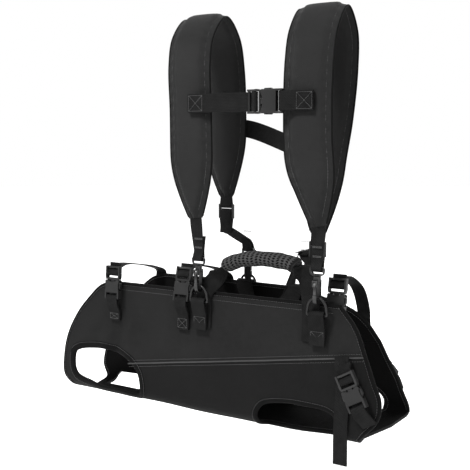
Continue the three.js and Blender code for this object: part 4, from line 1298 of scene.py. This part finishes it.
def top_web(key, x, plug_fold, plug_bar):
    """The web from a top buckle's plug over the gap and down on the back panel."""
    last = plug_fold[-1]
    edge = back_edge_z(x - WEB_NARROW / 2)

    def foot(z):
        return V(x, off_wall(x, z, 1, WEB_NARROW / 2), z)

    over = spline([
        last, V(x, mix(last.y, foot(edge).y, 0.13), last.z + 3),
        V(x, mix(last.y, foot(edge).y, 0.5), mix(last.z, edge, 0.15) + 1),
        V(x, mix(last.y, foot(edge).y, 0.8), mix(last.z, edge, 0.42)), foot(edge) + V(0, 1.5, 3),
        foot(edge - 12), foot(edge - 28),
    ], 5)
    path = spline(plug_fold, 3) + over[1:]
    web = webbing("top_web_" + key, path, X, WEB_NARROW, None, ["top_strap_" + key])
    pulled(web, foot(edge), V(x, plug_bar.y + 6, plug_bar.z + 4))


def top_tab_stitches(key, x, side, bar_z):
    """The box and cross that hold a top tab on."""
    low, high = TOP - TOP_TAB_DROP + 1, bar_z - TOP_FOLD
    out = Y * side
    corner = on_chest(x, low, side, 1) - X * (WEB_NARROW / 2) + out * (WEB_T / 2 + 0.2)
    sewn = bmesh.new()
    box_cross(sewn, corner, Z, X, out, min(17, high - low), WEB_NARROW)
    stitches("top_tab_stitches_" + key, sewn)


def top_strap(key, x, side, lean, drop=TOP_BUCKLE_DROP):
    """A strap over the gap between the sides, with its buckle on the chest side."""
    bar_z = TOP - drop
    turn = math.radians(lean)
    along, face = V(0, math.sin(turn), math.cos(turn)), V(0, -math.cos(turn), math.sin(turn))
    origin = off_chest(x, bar_z, side, TOP_BUCKLE_STAND) + along * socket_reach(WEB_NARROW)
    _, socket_fold, plug_fold, plug_bar = buckle_places(WEB_NARROW, origin, along, face)
    top_tab(key, x, side, bar_z, socket_fold)
    top_web(key, x, plug_fold[:-1], plug_bar)
    top_tab_stitches(key, x, side, bar_z)


def off_flap(x, z, side, off):
    """A point so far off one side of the wrap, clear of it for a lower web's width."""
    return V(x, off_wall(x, z, side, WEB_NARROW / 2 + 4) + side * off, z)


def lower_tab(key, side, along, across, socket_fold):
    """The tab that holds a lower buckle's socket on the belly's flap."""
    def on_flap(point, off):
        to = point - along * 15
        return off_flap(to.x, to.z, side, off)

    tab = [on_flap(socket_fold[0], LAYER + 0.4), *socket_fold, on_flap(socket_fold[-1], 0)]
    webbing("lower_tab_cloth_" + key, spline(tab, 3), across, WEB_NARROW, "harness", ["lower_tab_" + key])


def lower_web(key, side, seam, level, across, plug_fold):
    """The web from the side seam through a lower plug, and its loose end."""
    top, leave = plug_fold[0], plug_fold[-1]
    lift = WEB_NARROW / 5
    hang_x = leave.x - 3
    upper = [
        off_flap(top.x - 5, seam + 5, side, lift), off_flap(top.x - 4, seam - 3, side, lift + 1), *plug_fold,
    ]
    over = [V(leave.x, leave.y - side * 1.5, leave.z + 5), V(leave.x - 1, leave.y - side * 4.4, leave.z + 4)]
    hang = [off_flap(hang_x, mix(leave.z - 6, B + 14, t), side, 0.6) for t in (0.25, 0.5, 0.75, 1)]
    path = [*upper, *over, *hang, V(hang_x, hang[3].y, B - 29)]
    on_wall = level * math.copysign(1, across.dot(level))
    n = len(path) - 1

    def turned(t):
        k = ramp(t * n, 0.5, 2.5) * (1 - ramp(t * n, len(upper) + 0.2, len(upper) + 1.6))
        return on_wall.lerp(across, k)

    name, node = "lower_web_cloth_" + key, "lower_web_" + key
    web = webbing(name, spline(path, 4), turned, WEB_NARROW, None, [node])
    return web, off_flap(top.x - 5, seam + 2, side, lift)


def lower_closure(key, side, x):
    """A buckled strap that draws in the head end of the belly."""
    bar_z = B + LOWER_BAR_RISE
    rise = (off_flap(x, bar_z + 40, side, 0) - off_flap(x, bar_z, side, 0)).normalized()
    level = (off_flap(x + 14, bar_z, side, 0) - off_flap(x - 14, bar_z, side, 0)).normalized()
    turn = math.radians(LOWER_LEAN)
    along = rise * math.cos(turn) - level * math.sin(turn)
    face = level.cross(rise).normalized()
    if face.y * side < 0:
        face = -face
    origin = off_flap(x, bar_z, side, LOWER_BUCKLE_STAND) + along * socket_reach(WEB_NARROW)
    across, socket_fold, plug_fold, plug_bar = buckle_places(WEB_NARROW, origin, along, face)
    lower_tab(key, side, along, across, socket_fold)
    web, sewn_on = lower_web(key, side, seam_z(origin.x) - 4, level, across, plug_fold)
    pulled(web, sewn_on, plug_bar + along * 8)


# ---- handles ----
def handle(name, path, across, low, high, thick, end):
    """A carrying handle: webbing with a padded mesh sleeve."""
    web = webbing(name + "_handle_web", path, across, WEB_WIDE, None, ["handle_web_" + name])
    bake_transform(web)
    n = len(path) - 1
    part = path[round(low * n):round(high * n) + 1]

    def size(t):
        end_round = min(1, 0.70 + 7 * min(t, 1 - t))
        puff = 1 + 0.035 * math.sin(t * 21) + 0.02 * math.sin(t * 47 + 1)
        return (15 * end_round * puff, thick / 2 * end_round * puff)

    sleeve = tube(
        name + "_handle_sleeve", part, size, "handle_" + name, MESH, "grip_mesh", ["handle_grip_" + name],
        sides=32, across=lambda t: across(mix(low, high, t)),
    )
    for word, ends, at in (("low", part[:3], low), ("high", part[-3:], high)):
        tube(
            f"{name}_handle_cuff_{word}", ends, (11.6, thick / 2 * 0.78), "handle_" + name, BINDING,
            "grip_mesh", sides=24, across=across(at),
        )


def chest_handle():
    """The tall handle that stands on the chest side, between its rings."""
    top = TOP + 52
    a, b = RINGS["chest_tail"][0] + 3, RINGS["chest_head"][0] - 12
    arch = (
        (a, T - 49), (a, T - 24), (a + 2, T + 1), (a + 17, top - 34), (a + 34, top - 15), (a + 59, top - 4),
        (a + 90, top), (b - 44, top - 1), (b - 24, top - 5), (b - 9, top - 18), (b - 3, T + 14), (b, T - 24),
        (b, T - 49),
    )
    points = [V(x, off_wall(x, min(z, T), -1, WEB_WIDE / 2, 0.5), z) for x, z in arch]
    path = spline(points, 12)

    def across(t):
        k = ramp(t, 0.24, 0.34) - ramp(t, 0.66, 0.75)
        return X * (1 - k) + Y * k

    handle("chest", path, across, 0.34, 0.68, 20, V(18, -49, T + 14))


def back_handle():
    """The low handle of the back side, which comes over the edge and lies inside."""
    a, b = RINGS["back_tail"][0] + 3, RINGS["back_head"][0] - 11

    def out(x, z):
        return off_wall(x, z, 1, WEB_WIDE / 2, 0.5)

    def in_y(x):
        return out(x, T) - VEST_T - 2 * GAP - WEB_T - 2.4

    def up(x):
        return [
            V(x, out(x, T - 49), T - 49), V(x, out(x, T - 24), T - 24), V(x, out(x, T), T - 3),
            V(x, out(x, T) - 1.1, T + 2.3), V(x, (out(x, T) + in_y(x)) / 2, T + 3.6),
            V(x, in_y(x) + 1.1, T + 2.3), V(x, in_y(x), T - 3),
        ]

    low = T - 38
    inside = [
        V(a + 6, in_y(a) - 3, T - 16), V(a + 17, in_y(a) - 10, low + 7), V(a + 31, in_y(a) - 10, low),
        V(b - 31, in_y(b) - 10, low), V(b - 17, in_y(b) - 10, low + 7), V(b - 6, in_y(b) - 3, T - 16),
    ]
    path = spline(up(a) + inside + up(b)[::-1], 9)
    n = len(path) - 1

    def across(t):
        i = min(n - 1, max(1, round(t * n)))
        tangent = (path[i + 1] - path[i - 1]).normalized()
        level = tangent.cross(Y).normalized()
        k = ramp(t, 0.3, 0.36) - ramp(t, 0.64, 0.7)
        side = X if t < 0.5 else -X
        return side * (1 - k) + level * k

    y = out((a + b) / 2, T)
    handle("back", path, across, 0.42, 0.58, 12, V(-19, y - 8, T))


# ---- the scene ----
def camera():
    """A long lens a little above the wrap, from the chest side and the head end."""
    target = V(-45, 0, -294)
    azimuth, elevation, distance = math.radians(32), math.radians(6), 1218
    out = V(
        math.sin(azimuth) * math.cos(elevation),
        -math.cos(azimuth) * math.cos(elevation),
        math.sin(elevation),
    )
    data = bpy.data.cameras.new("camera")
    data.lens, data.sensor_width = 66.6, 36
    data.clip_end = 50
    eye = bpy.data.objects.new("camera", data)
    eye.location = (target + out * distance) * MM
    eye.rotation_euler = (-out).to_track_quat("-Z", "Y").to_euler()
    bpy.context.scene.collection.objects.link(eye)
    bpy.context.scene.camera = eye


def light(name, at, size, power):
    data = bpy.data.lights.new(name, "AREA")
    data.shape, data.size, data.energy = "DISK", size, power
    lamp = bpy.data.objects.new(name, data)
    lamp.location = at
    lamp.rotation_euler = (Vector((0, 0, -0.3)) - Vector(at)).to_track_quat("-Z", "Y").to_euler()
    bpy.context.scene.collection.objects.link(lamp)


def studio():
    """A pale floor, a white surround and three soft lights."""
    s = Shade("pale floor")
    at, _ = s.place()
    speck = s.noise(at, 6.0)
    s.set("Base Color", s.blend(speck, grey(0.84), grey(0.9)))
    s.set("Roughness", 0.9)
    s.set("Emission Color", (1, 1, 1, 1))
    s.set("Emission Strength", 0.35)
    bm = bmesh.new()
    bmesh.ops.create_circle(bm, cap_ends=True, segments=64, radius=9)
    bmesh.ops.translate(bm, vec=(0, 0, -0.66), verts=bm.verts)
    floor = as_object("floor", bm)
    floor.data.materials.append(s.material)
    world = bpy.data.worlds.new("surround")
    world.use_nodes = True
    world.node_tree.nodes["Background"].inputs[0].default_value = (1, 1, 1, 1)
    world.node_tree.nodes["Background"].inputs[1].default_value = 1.0
    bpy.context.scene.world = world
    light("key", (-0.7, -1.7, 2.1), 0.7, 160)
    light("fill", (2.2, -1.2, 0.5), 1.4, 20)
    light("rim", (0.4, 2.2, 1.3), 1.2, 26)
    bpy.context.scene.view_settings.view_transform = "Standard"


panels()
trims()
for side_key in ("tail", "head"):
    shoulder_pad(side_key)
    shoulder_webs(side_key)
hardware()
chest_strap()
back_strap()
top_strap("tail", TOP_TAIL_X, -1, 4, TOP_TAIL_DROP)
top_strap("middle", TOP_MIDDLE_X, -1, 12)
top_strap("head", TOP_HEAD_X, 1, 10)
lower_closure("chest", -1, LOWER_CHEST_X)
lower_closure("back", 1, LOWER_BACK_X)
chest_handle()
back_handle()
camera()
studio()
